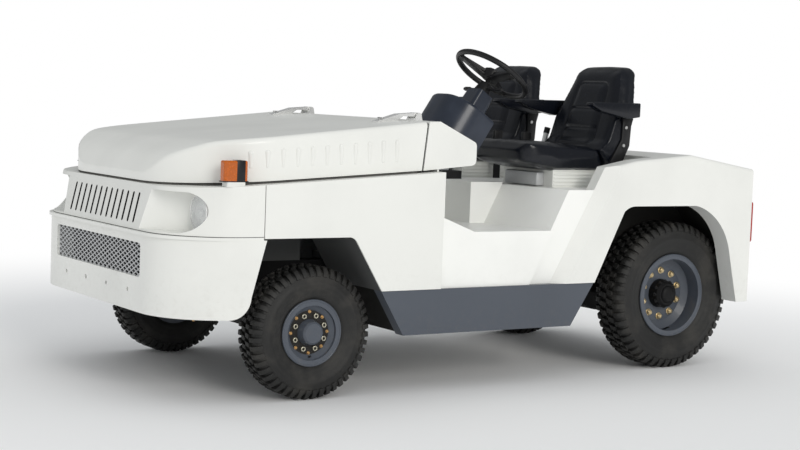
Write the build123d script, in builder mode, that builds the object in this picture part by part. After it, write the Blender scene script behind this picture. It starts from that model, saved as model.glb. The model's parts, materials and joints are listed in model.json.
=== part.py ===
"""Airport baggage tug: an open two-seat tow tractor on four wheels, built piece by piece.

Millimetres. X points forward, Y to the vehicle's left, Z up. The origin is at the middle of the
box around the vehicle, on the ground. Stations along X are measured from the front or rear axle.
"""

import os
from math import cos, radians, sin, sqrt, tan

from build123d import *

os.makedirs("parts", exist_ok=True)

# Main sizes
wheelbase = 2165.0
front_overhang = 705.0
jaw_reach = 120.0
body_width = 1640.0
sheet = 8.0
plate = 12.0
skin_gap = 10.0
running_clearance = 0.08

# Wheels and axles
front_tyre_od = 590.0
front_tyre_width = 178.0
front_wheel_inset = 132.0
front_rim_width = 140.0
front_bead_r = 127.0
front_flange_r = 147.0
rear_tyre_od = 748.0
rear_tyre_width = 200.0
rear_wheel_inset = 217.0
rear_rim_width = 156.0
rear_bead_r = 190.5
rear_flange_r = 210.0
tail_clearance = 22.0
kingpin_inset = 118.0
kingpin_r = 18.0
spindle_r = 30.0
arm_length = 170.0
arm_pin_r = 10.0

# Body lines
bumper_low = 377.0
bumper_top = 711.0
ledge_thick = 13.0
ledge_reach = 12.0
nose_corner = 330.0
belt_station = 650.0
belt_front_z = 922.0
belt_angle = 3.62
panel_setback = 9.0
panel_lean = 13.0
seam_station = 283.0
seam_half = 2.0
arch_top = 718.0
arch_rear_high = -163.0
arch_rear_low = -314.0
arch_corner = 45.0
sill_top = 475.0
sill_low = 270.0
floor_z = 728.0
platform_rise = 172.0
console_half = 340.0
console_front = -1119.0
console_rise = 10.0
fire_station = -632.0
side_inset = 40.0
step_inset = 20.0
fender_width = 100.0

# Derived places
half = body_width / 2
rear_overhang = rear_tyre_od / 2 + tail_clearance
length = front_overhang + wheelbase + rear_overhang + jaw_reach
fa = length / 2 - front_overhang
ra = fa - wheelbase
tail = ra - rear_overhang
bumper_front = fa + front_overhang - ledge_reach
panel_front = bumper_front - panel_setback
ledge_top = bumper_top + ledge_thick
front_z = front_tyre_od / 2
rear_z = rear_tyre_od / 2
front_wheel_y = half - front_wheel_inset
rear_wheel_y = half - rear_wheel_inset
kingpin_y = front_wheel_y - kingpin_inset
platform_z = rear_tyre_od + platform_rise
fender_inner = half - fender_width


def belt(station):
    """Height of the seam under the bonnet at a station behind or ahead of the front axle."""
    return belt_front_z + (belt_station - station) * tan(radians(belt_angle))


def nose_face(front, back, half_width, corner, mode=Mode.ADD):
    """Plan outline with two round front corners, drawn in the open sketch."""
    with BuildLine() as outline:
        FilletPolyline(
            (back, -half_width), (front, -half_width), (front, half_width), (back, half_width), radius=corner
        )
        Line((back, half_width), (back, -half_width))
    make_face(outline.edges(), mode=mode)


def profile(points, mode=Mode.ADD):
    """Closed straight-sided outline, drawn in the open sketch."""
    with BuildLine() as outline:
        Polyline(*points, close=True)
    make_face(outline.edges(), mode=mode)


def side_plane(y):
    """Side-view plane at a distance to the left: local x is X, local y is Z, normal to the right."""
    return Plane(origin=(0, y, 0), x_dir=(1, 0, 0), z_dir=(0, -1, 0))


def front_plane(x, z=0.0):
    """Front-view plane at a place along X: local x is Y, local y is Z, normal forwards."""
    return Plane(origin=(x, 0, z), x_dir=(0, 1, 0), z_dir=(1, 0, 0))


def keep(builder, name):
    """Name a finished piece and write its STEP file."""
    builder.part.label = name
    export_step(builder.part, f"parts/{name}.step")


# Chassis frame: two rails with cross members
rail_y = 330.0
rail_w = 60.0
rail_height = 120.0
axle_to_rail = 76.0
rail_setback = 20.0
rail_low = rear_z + axle_to_rail
rail_high = rail_low + rail_height
rail_mid = (rail_low + rail_high) / 2
rail_front = bumper_front - plate - rail_setback
rail_back = tail + sheet
cross_w = 80.0
cross_stations = (rail_front - cross_w / 2, fa - 560, ra + 420, rail_back + cross_w / 2)
with BuildPart() as chassis_frame:
    with BuildSketch(front_plane(rail_back, rail_mid)):
        with GridLocations(2 * rail_y, 0, 2, 1):
            Rectangle(rail_w, rail_height)
    extrude(amount=rail_front - rail_back)
    for cross_x in cross_stations:
        with BuildSketch(Plane(origin=(cross_x, 0, rail_low))):
            Rectangle(cross_w, 2 * rail_y)
        extrude(amount=rail_height)
keep(chassis_frame, "chassis_frame")

# Front bumper: thick plate bent round the nose, with a ledge on top, a mesh window and four holes
window_half = 474.0
window_low = 528.0
window_high = 675.0
window_corner = 18.0
window_mid = (window_low + window_high) / 2
bolt_hole_r = 10.0
bolt_hole_z = 464.0
bolt_hole_pitch = 233.0
ledge_width = 60.0
bracket_height = 56.0
bumper_back = fa + seam_station + seam_half
wing_top = (fa + 268, arch_top)
wing_knee = (fa + 336, 470)
wing_bend = (fa + 368, 402)
wing_foot = (fa + 430, bumper_low)
with BuildPart() as front_bumper:
    with BuildSketch(Plane.XY.offset(bumper_low)):
        nose_face(bumper_front, bumper_back - 30, half, nose_corner)
        nose_face(bumper_front - plate, bumper_back - 31, half - plate, nose_corner - plate, Mode.SUBTRACT)
    extrude(amount=bumper_top - bumper_low)
    with BuildSketch(Plane.XY.offset(bumper_top)):
        nose_face(bumper_front + ledge_reach, bumper_back, half, nose_corner)
        nose_face(
            panel_front - ledge_width,
            bumper_back - 1,
            half - ledge_width,
            nose_corner - ledge_width,
            Mode.SUBTRACT,
        )
    extrude(amount=ledge_thick)
    with BuildSketch(side_plane(0)):
        with BuildLine():
            Polyline((fa + 264, ledge_top + 1), wing_top, wing_knee)
            ThreePointArc(wing_knee, wing_bend, wing_foot)
            Polyline(
                wing_foot,
                (fa + 430, bumper_low - 60),
                (fa - 100, bumper_low - 60),
                (fa - 100, ledge_top + 1),
                (fa + 264, ledge_top + 1),
            )
        make_face()
    extrude(amount=half + 20, both=True, mode=Mode.SUBTRACT)
    with BuildSketch(front_plane(bumper_front, window_mid)):
        RectangleRounded(2 * window_half, window_high - window_low, window_corner)
    extrude(amount=3 * plate, both=True, mode=Mode.SUBTRACT)
    with BuildSketch(front_plane(bumper_front, bolt_hole_z)):
        with GridLocations(bolt_hole_pitch, 0, 4, 1):
            Circle(bolt_hole_r)
    extrude(amount=2 * plate, both=True, mode=Mode.SUBTRACT)
    with BuildSketch(front_plane(rail_front, rail_low + bracket_height / 2)):
        with GridLocations(2 * rail_y, 0, 2, 1):
            Rectangle(rail_w, bracket_height)
    extrude(amount=rail_setback)
keep(front_bumper, "front_bumper")

# Mesh behind the bumper window: a plate pierced by staggered diamonds
mesh_thick = 4.0
mesh_margin = 14.0
mesh_pitch_y = 48.0
mesh_pitch_z = 22.0
mesh_opening = 0.78
diamond_y = mesh_opening * mesh_pitch_y / 2
diamond_z = mesh_opening * mesh_pitch_z / 2
mesh_columns = 20
mesh_rows = 7
diamond = ((-diamond_y, 0), (0, -diamond_z), (diamond_y, 0), (0, diamond_z))
with BuildPart() as bumper_mesh:
    with BuildSketch(front_plane(bumper_front - plate, window_mid)):
        Rectangle(2 * (window_half + mesh_margin), window_high - window_low + 2 * mesh_margin)
        with GridLocations(mesh_pitch_y, mesh_pitch_z, mesh_columns, mesh_rows):
            Polygon(*diamond, align=None, mode=Mode.SUBTRACT)
        with GridLocations(mesh_pitch_y, mesh_pitch_z, mesh_columns - 1, mesh_rows - 1):
            Polygon(*diamond, align=None, mode=Mode.SUBTRACT)
    extrude(amount=-mesh_thick)
keep(bumper_mesh, "bumper_mesh")

# Grille panel: leaning front band with slots and two lamp pockets that wrap round the corners
slot_count = 13
slot_pitch = 59.0
slot_width = 18.0
slot_height = 135.0
slot_mid = 818.0
lamp_r = 79.0
lamp_y = half - 145
lamp_back = 505.0
lamp_front = 523.0
pocket_mid = 820.0
pocket_r = 86.0
pocket_inner_y = 425.0
pocket_flare = 60.0
pocket_back = fa + lamp_back
band_top = 1000.0
flange_width = 70.0
panel_back = fa + seam_station + seam_half
lean_shift = (band_top - ledge_top) * tan(radians(panel_lean))
belt_plane = Plane(
    origin=(fa + belt_station, 0, belt_front_z),
    x_dir=(cos(radians(belt_angle)), 0, -sin(radians(belt_angle))),
    z_dir=(sin(radians(belt_angle)), 0, cos(radians(belt_angle))),
)

with BuildPart() as band_outer:
    with BuildSketch(Plane.XY.offset(ledge_top)):
        nose_face(panel_front, panel_back, half, nose_corner)
    with BuildSketch(Plane.XY.offset(band_top)):
        nose_face(panel_front - lean_shift, panel_back, half, nose_corner)
    loft(ruled=True)
    split(bisect_by=belt_plane, keep=Keep.BOTTOM)

with BuildPart() as band_inner:
    with BuildSketch(Plane.XY.offset(ledge_top)):
        nose_face(panel_front - sheet, panel_back - 1, half - sheet, nose_corner - sheet)
    with BuildSketch(Plane.XY.offset(band_top)):
        nose_face(panel_front - lean_shift - sheet, panel_back - 1, half - sheet, nose_corner - sheet)
    loft(ruled=True)
    split(bisect_by=belt_plane.offset(-sheet), keep=Keep.BOTTOM)

lamp_inner_y = lamp_y - lamp_r - 4
flare_slope = (lamp_inner_y - pocket_inner_y) / (panel_front - pocket_back)
pocket_plan = (
    (panel_front + pocket_flare, pocket_inner_y - pocket_flare * flare_slope),
    (pocket_back, lamp_inner_y),
    (pocket_back, half + pocket_flare),
    (panel_front + pocket_flare, half + pocket_flare),
)
with BuildPart() as pocket:
    with BuildSketch(Plane(origin=(pocket_back, lamp_y, pocket_mid), x_dir=(0, 1, 0), z_dir=(1, 0, 0))):
        Circle(pocket_r)
        with Locations((-lamp_y / 2, 0)):
            Rectangle(lamp_y, 2 * pocket_r)
    extrude(amount=panel_front + pocket_flare - pocket_back)
    with BuildSketch(Plane.XY.offset(pocket_mid - pocket_r)):
        profile(pocket_plan)
    extrude(amount=2 * pocket_r, mode=Mode.INTERSECT)
    mirror(about=Plane.XZ)

with BuildPart() as pocket_wall:
    with BuildSketch(Plane.XY.offset(pocket_mid - pocket_r - sheet)):
        profile(pocket_plan)
        offset(amount=sheet)
    extrude(amount=2 * (pocket_r + sheet))
    mirror(about=Plane.XZ)
    add(band_outer.part, mode=Mode.INTERSECT)

with BuildPart() as grille_panel:
    add(band_outer.part)
    add(band_inner.part, mode=Mode.SUBTRACT)
    with BuildSketch(Plane.XY.offset(belt_front_z - 40)):
        nose_face(
            panel_front - lean_shift - flange_width,
            panel_back - 1,
            half - flange_width,
            nose_corner - flange_width,
        )
    extrude(amount=150, mode=Mode.SUBTRACT)
    add(pocket_wall.part)
    add(pocket.part, mode=Mode.SUBTRACT)
    with BuildSketch(front_plane(pocket_back - 20, pocket_mid)):
        with GridLocations(2 * lamp_y, 0, 2, 1):
            Circle(lamp_r)
    extrude(amount=40, mode=Mode.SUBTRACT)
    with BuildSketch(
        Plane(
            origin=(panel_front - (slot_mid - ledge_top) * tan(radians(panel_lean)), 0, slot_mid),
            x_dir=(0, 1, 0),
            z_dir=(cos(radians(panel_lean)), 0, sin(radians(panel_lean))),
        )
    ):
        with GridLocations(slot_pitch, 0, slot_count, 1):
            SlotOverall(slot_height, slot_width, rotation=90)
    extrude(amount=3 * sheet, both=True, mode=Mode.SUBTRACT)
keep(grille_panel, "grille_panel")

# Headlamps: bowls in the pockets and domed lenses in front of them
lamp_rim = 3.0
bowl_depth = lamp_front - lamp_back + 10
lens_dome = 16.0
lens_edge = 6.0
lens_r = lamp_r - lamp_rim
lamp_face = fa + lamp_front
with BuildPart() as headlamp_bowls:
    with BuildSketch(front_plane(lamp_face, pocket_mid)):
        with GridLocations(2 * lamp_y, 0, 2, 1):
            Circle(lamp_r)
    extrude(amount=-bowl_depth)
    with BuildSketch(front_plane(lamp_face, pocket_mid)):
        with GridLocations(2 * lamp_y, 0, 2, 1):
            Circle(lens_r)
    extrude(amount=-(bowl_depth - 10), taper=30, mode=Mode.SUBTRACT)
keep(headlamp_bowls, "headlamp_bowls")

with BuildPart() as headlamp_lenses:
    with BuildSketch(Plane(origin=(0, lamp_y, pocket_mid))):
        with BuildLine():
            Line((lamp_face - lens_edge, 0), (lamp_face + lens_dome, 0))
            ThreePointArc(
                (lamp_face + lens_dome, 0), (lamp_face + lens_dome * 0.72, lens_r * 0.55), (lamp_face, lens_r)
            )
            Line((lamp_face, lens_r), (lamp_face - lens_edge, lens_r - 4))
            Line((lamp_face - lens_edge, lens_r - 4), (lamp_face - lens_edge, 0))
        make_face()
    revolve(axis=Axis((0, lamp_y, pocket_mid), (1, 0, 0)))
    mirror(about=Plane.XZ)
keep(headlamp_lenses, "headlamp_lenses")

# Marker lamps on the ledge beside the bonnet
marker_length = 112.0
marker_width = 50.0
marker_low = 958.0
marker_high = 1046.0
marker_station = 412.0
marker_y = half - 46
with BuildPart() as marker_lamps:
    with BuildSketch(Plane(origin=(fa + marker_station, 0, marker_low))):
        with GridLocations(0, 2 * marker_y, 1, 2):
            RectangleRounded(marker_length, marker_width, 14)
    extrude(amount=marker_high - marker_low)
    fillet(marker_lamps.edges().group_by(Axis.Z)[-1], radius=8)
    with BuildSketch(belt_plane):
        with Locations((marker_station - belt_station, marker_y), (marker_station - belt_station, -marker_y)):
            Rectangle(marker_length - 40, marker_width - 20)
    extrude(amount=marker_low - belt(marker_station) + 8)
keep(marker_lamps, "marker_lamps")

# Front wheelhouses: splash plates over the front wheels, from the rails to the side panels
apron_y = 400.0
apron_inset_front = 80.0
apron_inset_back = 160.0
house_front = fa + 268
house_back = fa + arch_rear_low
with BuildPart() as front_wheelhouses:
    with BuildSketch(side_plane(half - sheet)):
        profile(
            (
                (house_front, arch_top),
                (fa + arch_rear_high, arch_top),
                (house_back, sill_top),
                (house_back - sheet, sill_top),
                (fa + arch_rear_high - sheet / 2, arch_top + sheet),
                (house_front, arch_top + sheet),
            )
        )
    extrude(amount=half - sheet - apron_y)
    with BuildSketch(side_plane(apron_y)):
        profile(
            (
                (house_front - apron_inset_front, arch_top),
                (house_front - apron_inset_front, arch_top + sheet),
                (house_back + apron_inset_back, arch_top + sheet),
                (house_back + apron_inset_back, arch_top),
            )
        )
    extrude(amount=apron_y - rail_y - rail_w / 2 + sheet)
    with BuildSketch(side_plane(rail_y + rail_w / 2)):
        profile(
            (
                (house_front - apron_inset_front, rail_high),
                (house_front - apron_inset_front, arch_top + sheet),
                (house_back + apron_inset_back, arch_top + sheet),
                (house_back + apron_inset_back, rail_high),
            )
        )
    extrude(amount=sheet)
    mirror(about=Plane.XZ)
keep(front_wheelhouses, "front_wheelhouses")

# Side panels under the bonnet, from the nose seam to the footwell
panel_seam = fa + seam_station - seam_half
with BuildPart() as side_panel_left:
    with BuildSketch(side_plane(half)) as panel_outline:
        profile(
            (
                (panel_seam, arch_top),
                (panel_seam, belt(seam_station)),
                (fa + fire_station, belt(fire_station)),
                (fa + fire_station, sill_top),
                (fa + arch_rear_low, sill_top),
                (fa + arch_rear_high, arch_top),
            )
        )
        arch_knee = panel_outline.vertices().sort_by_distance((fa + arch_rear_high, arch_top))[0]
        fillet(arch_knee, radius=arch_corner)
    extrude(amount=sheet)
    with BuildSketch(side_plane(half - sheet)):
        profile(
            (
                (panel_seam, belt(seam_station) - sheet),
                (panel_seam, belt(seam_station)),
                (fa + fire_station, belt(fire_station)),
                (fa + fire_station, belt(fire_station) - sheet),
            )
        )
    extrude(amount=flange_width)
keep(side_panel_left, "side_panel_left")

with BuildPart() as side_panel_right:
    mirror(side_panel_left.part, about=Plane.XZ)
keep(side_panel_right, "side_panel_right")

# Radiator and engine, one plain block each
radiator_station = 540.0
radiator_thick = 70.0
radiator_height = 320.0
with BuildPart() as radiator:
    with BuildSketch(Plane(origin=(fa + radiator_station, 0, rail_high))):
        Rectangle(radiator_thick, 2 * rail_y)
    extrude(amount=radiator_height)
keep(radiator, "radiator")

engine_station = -90.0
foot_pitch = 480.0
foot_width = 70.0
foot_height = 30.0
engine_half = 230.0
engine_length = 700.0
engine_height = 540.0
with BuildPart() as engine_block:
    with BuildSketch(Plane(origin=(fa + engine_station, 0, rail_low))):
        Rectangle(engine_length, 2 * engine_half)
    extrude(amount=engine_height)
    with BuildSketch(Plane(origin=(fa + engine_station, 0, rail_high))):
        with GridLocations(foot_pitch, 0, 2, 1):
            Rectangle(foot_width, 2 * rail_y + rail_w - 4 * sheet)
    extrude(amount=foot_height)
keep(engine_block, "engine_block")

# Bonnet: a shell that opens upwards from its nose, with large plan corners and louvres on its sides
bonnet_half = half - 60
bonnet_front = 628.0
bonnet_corner = 450.0
bonnet_sheet = 10.0
bonnet_lip_z = 972.0
bonnet_edge_r = 24.0
bonnet_back_low = -542.0
bonnet_back_high = -566.0
bonnet_crown = 330.0
bonnet_crown_z = 1135.0
bonnet_slope = 88 / 860


def bonnet_top(station):
    """Height of the bonnet's straight top line at a station."""
    return bonnet_crown_z + (bonnet_crown - station) * bonnet_slope


def bonnet_profile(inset):
    """Side outline of the bonnet drawn in the open sketch, moved in by the wall when hollowed."""
    low = skin_gap - 4 * inset
    nose = fa + bonnet_front - inset
    with BuildLine() as outline:
        Line((nose, belt(bonnet_front) + low), (nose, bonnet_lip_z))
        Spline(
            (nose, bonnet_lip_z),
            (fa + 590 - inset * 0.8, 1045 - inset * 0.6),
            (fa + 505 - inset * 0.4, 1098 - inset * 0.9),
            (fa + bonnet_crown, bonnet_crown_z - inset),
            tangents=((-0.42, 1), (-1, bonnet_slope)),
        )
        Polyline(
            (fa + bonnet_crown, bonnet_crown_z - inset),
            (fa + bonnet_back_high, bonnet_top(bonnet_back_high) - inset),
            (fa + bonnet_back_low, belt(bonnet_back_low) + low),
            (nose, belt(bonnet_front) + low),
        )
    make_face(outline.edges())


def on_top_rim(place):
    """Whether a place lies on the bonnet's upper side edges or on the crease over its lip."""
    beside = abs(place.Y) > bonnet_half / 2 and place.Z > bonnet_top(place.X - fa) - 50
    return beside or abs(place.Z - bonnet_lip_z) < 1


with BuildPart() as bonnet_core:
    with BuildSketch(side_plane(0)):
        bonnet_profile(bonnet_sheet)
    extrude(amount=bonnet_half - bonnet_sheet, both=True)
    with BuildSketch(Plane.XY.offset(belt_front_z - 100)):
        nose_face(
            fa + bonnet_front - bonnet_sheet,
            fa + fire_station,
            bonnet_half - bonnet_sheet,
            bonnet_corner - bonnet_sheet,
        )
    extrude(amount=600, mode=Mode.INTERSECT)

louvre_count = 11
louvre_pitch = 72.0
louvre_first = 315.0
louvre_low = 1016.0
louvre_length = 58.0
louvre_rise = 3.4
louvre_growth = 2.6
louvre_top_r = 13.0
louvre_low_r = 8.0
louvre_sink = 5.0


def bonnet_side(station):
    """Distance from the middle to the bonnet's side at a station, also in its round corner."""
    past_corner = max(0.0, station - bonnet_front + bonnet_corner)
    return bonnet_half - bonnet_corner + sqrt(bonnet_corner**2 - past_corner**2)


with BuildPart() as louvres:
    for louvre in range(louvre_count):
        louvre_station = louvre_first - louvre * louvre_pitch
        louvre_x = fa + louvre_station
        louvre_y = bonnet_side(louvre_station) - louvre_sink
        foot_z = louvre_low + louvre * louvre_rise
        head_z = foot_z + louvre_length + louvre * louvre_growth
        with Locations((louvre_x, louvre_y, (foot_z + head_z) / 2)):
            Cone(louvre_low_r, louvre_top_r, head_z - foot_z)
        with Locations((louvre_x, louvre_y, head_z)):
            Sphere(louvre_top_r)
        with Locations((louvre_x, louvre_y, foot_z)):
            Sphere(louvre_low_r)
    mirror(about=Plane.XZ)

with BuildPart() as bonnet:
    with BuildSketch(side_plane(0)):
        bonnet_profile(0)
    extrude(amount=bonnet_half, both=True)
    with BuildSketch(Plane.XY.offset(belt_front_z - 100)):
        nose_face(fa + bonnet_front, fa + fire_station, bonnet_half, bonnet_corner)
    extrude(amount=600, mode=Mode.INTERSECT)
    fillet([edge for edge in bonnet.edges() if on_top_rim(edge.center())], radius=bonnet_edge_r)
    add(louvres.part)
    add(bonnet_core.part, mode=Mode.SUBTRACT)
keep(bonnet, "bonnet")

# Cowl: the fixed hood end behind the bonnet, sloping down to the cab
cowl_ridge = -635.0
cowl_ridge_z = 1230.0
cowl_back = -842.0
cowl_back_z = 1135.0
cowl_back_low = 1034.0
cowl_slope = (cowl_ridge_z - cowl_back_z) / (cowl_ridge - cowl_back)


def cowl_top(station):
    """Height of the cowl's sloping top at a station."""
    return cowl_back_z + (station - cowl_back) * cowl_slope


with BuildPart() as cowl_core:
    with BuildSketch(side_plane(0)):
        profile(
            (
                (fa + bonnet_back_low + 20, belt_front_z),
                (fa + bonnet_back_high + 20, bonnet_top(bonnet_back_high) - sheet),
                (fa + cowl_ridge + 2, cowl_ridge_z - sheet),
                (fa + cowl_back + sheet, cowl_back_z - sheet),
                (fa + cowl_back + sheet, belt_front_z),
            )
        )
    extrude(amount=bonnet_half - sheet, both=True)

with BuildPart() as cowl:
    with BuildSketch(side_plane(0)) as cowl_outline:
        profile(
            (
                (fa + bonnet_back_low - skin_gap, belt(bonnet_back_low) + skin_gap),
                (fa + bonnet_back_high - skin_gap, bonnet_top(bonnet_back_high)),
                (fa + cowl_ridge, cowl_ridge_z),
                (fa + cowl_back, cowl_back_z),
                (fa + cowl_back, cowl_back_low),
            )
        )
        fillet(cowl_outline.vertices().sort_by_distance((fa + cowl_back, cowl_back_z))[0], radius=24)
        fillet(cowl_outline.vertices().sort_by_distance((fa + cowl_back, cowl_back_low))[0], radius=24)
    extrude(amount=bonnet_half, both=True)
    add(cowl_core.part, mode=Mode.SUBTRACT)
keep(cowl, "cowl")

# Bonnet hinges: bases on the cowl, straps on the bonnet, one pin line
hinge_station = -666.0
hinge_z = 1250.0
hinge_y = 500.0
hinge_pin_r = 7.0
hinge_knuckle_r = 14.0
hinge_width = 50.0
hinge_side = 6.0
hinge_play = 6.0
hinge_x = fa + hinge_station
ear_foot = hinge_knuckle_r + 10
ear_inner_y = hinge_y - hinge_width / 2 - hinge_play
ear_outer_y = hinge_y + hinge_width / 2 + hinge_play + hinge_side
with BuildPart() as hinge_bases:
    for ear_y in (ear_inner_y, ear_outer_y):
        with BuildSketch(side_plane(ear_y)):
            with BuildLine():
                Polyline(
                    (hinge_x - hinge_knuckle_r, hinge_z),
                    (hinge_x - ear_foot, cowl_top(hinge_station - ear_foot)),
                    (hinge_x + ear_foot, cowl_top(hinge_station + ear_foot)),
                    (hinge_x + hinge_knuckle_r, hinge_z),
                )
                ThreePointArc(
                    (hinge_x + hinge_knuckle_r, hinge_z),
                    (hinge_x, hinge_z + hinge_knuckle_r),
                    (hinge_x - hinge_knuckle_r, hinge_z),
                )
            make_face()
        extrude(amount=hinge_side)
    with BuildSketch(side_plane(ear_outer_y)):
        with Locations((hinge_x, hinge_z)):
            Circle(hinge_pin_r)
    extrude(amount=ear_outer_y - ear_inner_y + hinge_side)
    mirror(about=Plane.XZ)
keep(hinge_bases, "hinge_bases")

strap_thick = 6.0
strap_front = -446.0
strap_bend = bonnet_back_high + 26
with BuildPart() as hinge_straps:
    with BuildSketch(side_plane(hinge_y + hinge_width / 2)):
        with Locations((hinge_x, hinge_z)):
            Circle(hinge_knuckle_r)
        profile(
            (
                (hinge_x, hinge_z + hinge_knuckle_r),
                (fa + bonnet_back_high, hinge_z + hinge_knuckle_r - 8),
                (fa + strap_front, bonnet_top(strap_front) + strap_thick),
                (fa + strap_front, bonnet_top(strap_front)),
                (fa + strap_bend - 16, bonnet_top(strap_bend - 16)),
                (fa + bonnet_back_high - 20, hinge_z - 4),
                (hinge_x, hinge_z - 4),
            )
        )
        with Locations((hinge_x, hinge_z)):
            Circle(hinge_pin_r + running_clearance, mode=Mode.SUBTRACT)
    extrude(amount=hinge_width)
    mirror(about=Plane.XZ)
keep(hinge_straps, "hinge_straps")

# The plane that parts the cab floor from the seat platform: it leans back and sweeps back outwards
platform_foot = -1213.0
platform_foot_z = 737.0
platform_lean = radians(27.3)
platform_sweep = radians(9.2)
platform_front = Plane(
    origin=(fa + platform_foot, console_half, platform_foot_z),
    z_dir=(
        cos(platform_lean) * cos(platform_sweep),
        cos(platform_lean) * sin(platform_sweep),
        sin(platform_lean),
    ),
)
rib_inner_y = half - side_inset
rib_station = 634.0
rib_lean = 0.565
rib_z = platform_z - sheet


def rib(z):
    """Place along X of the rib where the rear fender meets the seat platform, at a height."""
    return ra + rib_station + (rib_z - z) * rib_lean


# Cab floor: firewall, footwell floor, centre console and the low side plates you step over
step_y = half - step_inset
step_high = 799.0
step_dip = -821.0
console_top = platform_z + console_rise
cab_back = fa + platform_foot - 200
firewall_x = fa + fire_station - sheet / 2
with BuildPart() as firewall_top:
    with BuildSketch(Plane(origin=(firewall_x, 0, belt(fire_station)))):
        Rectangle(sheet, body_width)
    extrude(amount=400)
    add(cowl_core.part, mode=Mode.INTERSECT)

with BuildPart() as cab_floor:
    with BuildSketch(side_plane(step_y)):
        profile(
            (
                (fa + fire_station - sheet, floor_z - sheet),
                (fa + fire_station - sheet, floor_z),
                (cab_back, floor_z),
                (cab_back, floor_z - sheet),
            )
        )
    extrude(amount=step_y)
    with BuildSketch(side_plane(step_y)):
        profile(
            (
                (fa + fire_station - sheet, sill_top),
                (fa + fire_station - sheet, step_high),
                (fa + step_dip, floor_z + 2),
                (cab_back, floor_z),
                (cab_back, sill_top),
            )
        )
    extrude(amount=sheet)
    with BuildSketch(side_plane(console_half)):
        profile(
            (
                (fa + console_front, floor_z),
                (fa + console_front, console_top),
                (cab_back, console_top),
                (cab_back, floor_z),
            )
        )
    extrude(amount=console_half)
    with BuildSketch(side_plane(console_half - sheet)):
        profile(
            (
                (fa + console_front - sheet, floor_z - 2 * sheet),
                (fa + console_front - sheet, console_top - sheet),
                (cab_back - 1, console_top - sheet),
                (cab_back - 1, floor_z - 2 * sheet),
            )
        )
    extrude(amount=console_half - sheet, mode=Mode.SUBTRACT)
    split(bisect_by=platform_front, keep=Keep.TOP)
    mirror(about=Plane.XZ)
    with BuildSketch(Plane(origin=(firewall_x, 0, rail_high))):
        Rectangle(sheet, body_width - 2 * sheet)
    extrude(amount=belt(fire_station) - rail_high)
    add(firewall_top.part)
keep(cab_floor, "cab_floor")

# Seat platform: leaning, swept front, flat top under the seats, open below and behind
platform_back = ra + 200
with BuildPart() as platform_hollow:
    with BuildSketch(side_plane(rib_inner_y - sheet)):
        profile(
            (
                (fa + console_front, sill_top - 1),
                (fa + console_front, platform_z - sheet),
                (platform_back - 1, platform_z - sheet),
                (platform_back - 1, sill_top - 1),
            )
        )
    extrude(amount=rib_inner_y - sheet)
    split(bisect_by=platform_front.offset(-sheet), keep=Keep.BOTTOM)

with BuildPart() as seat_platform:
    with BuildSketch(side_plane(rib_inner_y)):
        profile(
            (
                (fa + platform_foot + 150, sill_top),
                (fa + platform_foot + 150, platform_z),
                (platform_back, platform_z),
                (platform_back, sill_top),
            )
        )
    extrude(amount=rib_inner_y)
    split(bisect_by=platform_front, keep=Keep.BOTTOM)
    add(platform_hollow.part, mode=Mode.SUBTRACT)
    with BuildSketch(side_plane(half)):
        profile(
            (
                (rib(sill_top), sill_top),
                (rib(platform_z), platform_z),
                (platform_back, platform_z),
                (platform_back, sill_top),
            )
        )
    extrude(amount=fender_width, mode=Mode.SUBTRACT)
    mirror(about=Plane.XZ)
    with BuildSketch(front_plane(fa + platform_foot, rail_mid)):
        with GridLocations(2 * rail_y, 0, 2, 1):
            Rectangle(rail_w + 2, rail_height + 2)
    extrude(amount=200, mode=Mode.SUBTRACT)
keep(seat_platform, "seat_platform")

# Sills: slate steps below the doors
sill_depth = 62.0
sill_face = half - 6
with BuildPart() as sill_left:
    with BuildSketch(side_plane(sill_face)):
        profile(
            (
                (fa + arch_rear_low, sill_top),
                (fa - 439, sill_low),
                (ra + 767, sill_low),
                (ra + 633, sill_top),
            )
        )
    extrude(amount=sill_depth)
keep(sill_left, "sill_left")

with BuildPart() as sill_right:
    mirror(sill_left.part, about=Plane.XZ)
keep(sill_right, "sill_right")

# Rear fenders: thick boxes with the wheel arch cut in them and a facet that meets the platform
fender_peak_z = platform_z + 177
fender_tail_z = platform_z + 109
fender_low = rear_z - 29
arch_crest = rear_z + 469
fender_edge_r = 18.0
facet = Plane(
    origin=(rib(rib_z), rib_inner_y, rib_z),
    z_dir=(side_inset, rib_inner_y - half + 111, side_inset * rib_lean),
)
with BuildPart() as rear_fender_left:
    with BuildSketch(side_plane(half)):
        with BuildLine():
            Polyline(
                (ra + 633, sill_top),
                (rib(sill_top), sill_top),
                (rib(platform_z + 111), platform_z + 111),
                (ra + 382, platform_z + 146),
                (ra + 33, fender_peak_z),
                (tail, fender_tail_z),
                (tail, fender_low),
                (ra - 318, fender_low),
                (ra - 250, rear_z + 242),
            )
            ThreePointArc((ra - 250, rear_z + 242), (ra - 158, rear_z + 394), (ra - 12, arch_crest))
            Line((ra - 12, arch_crest), (ra + 387, arch_crest))
            ThreePointArc((ra + 387, arch_crest), (ra + 430, rear_z + 462), (ra + 462, rear_z + 443))
            Line((ra + 462, rear_z + 443), (ra + 633, sill_top))
        make_face()
    extrude(amount=fender_width)
    split(bisect_by=facet, keep=Keep.BOTTOM)
    outer_rim = [edge for edge in rear_fender_left.edges() if edge.center().Y > half - 1]
    fillet([edge for edge in outer_rim if edge.center().Z > platform_z + 100], radius=fender_edge_r)
keep(rear_fender_left, "rear_fender_left")

with BuildPart() as rear_fender_right:
    mirror(rear_fender_left.part, about=Plane.XZ)
keep(rear_fender_right, "rear_fender_right")

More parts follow.
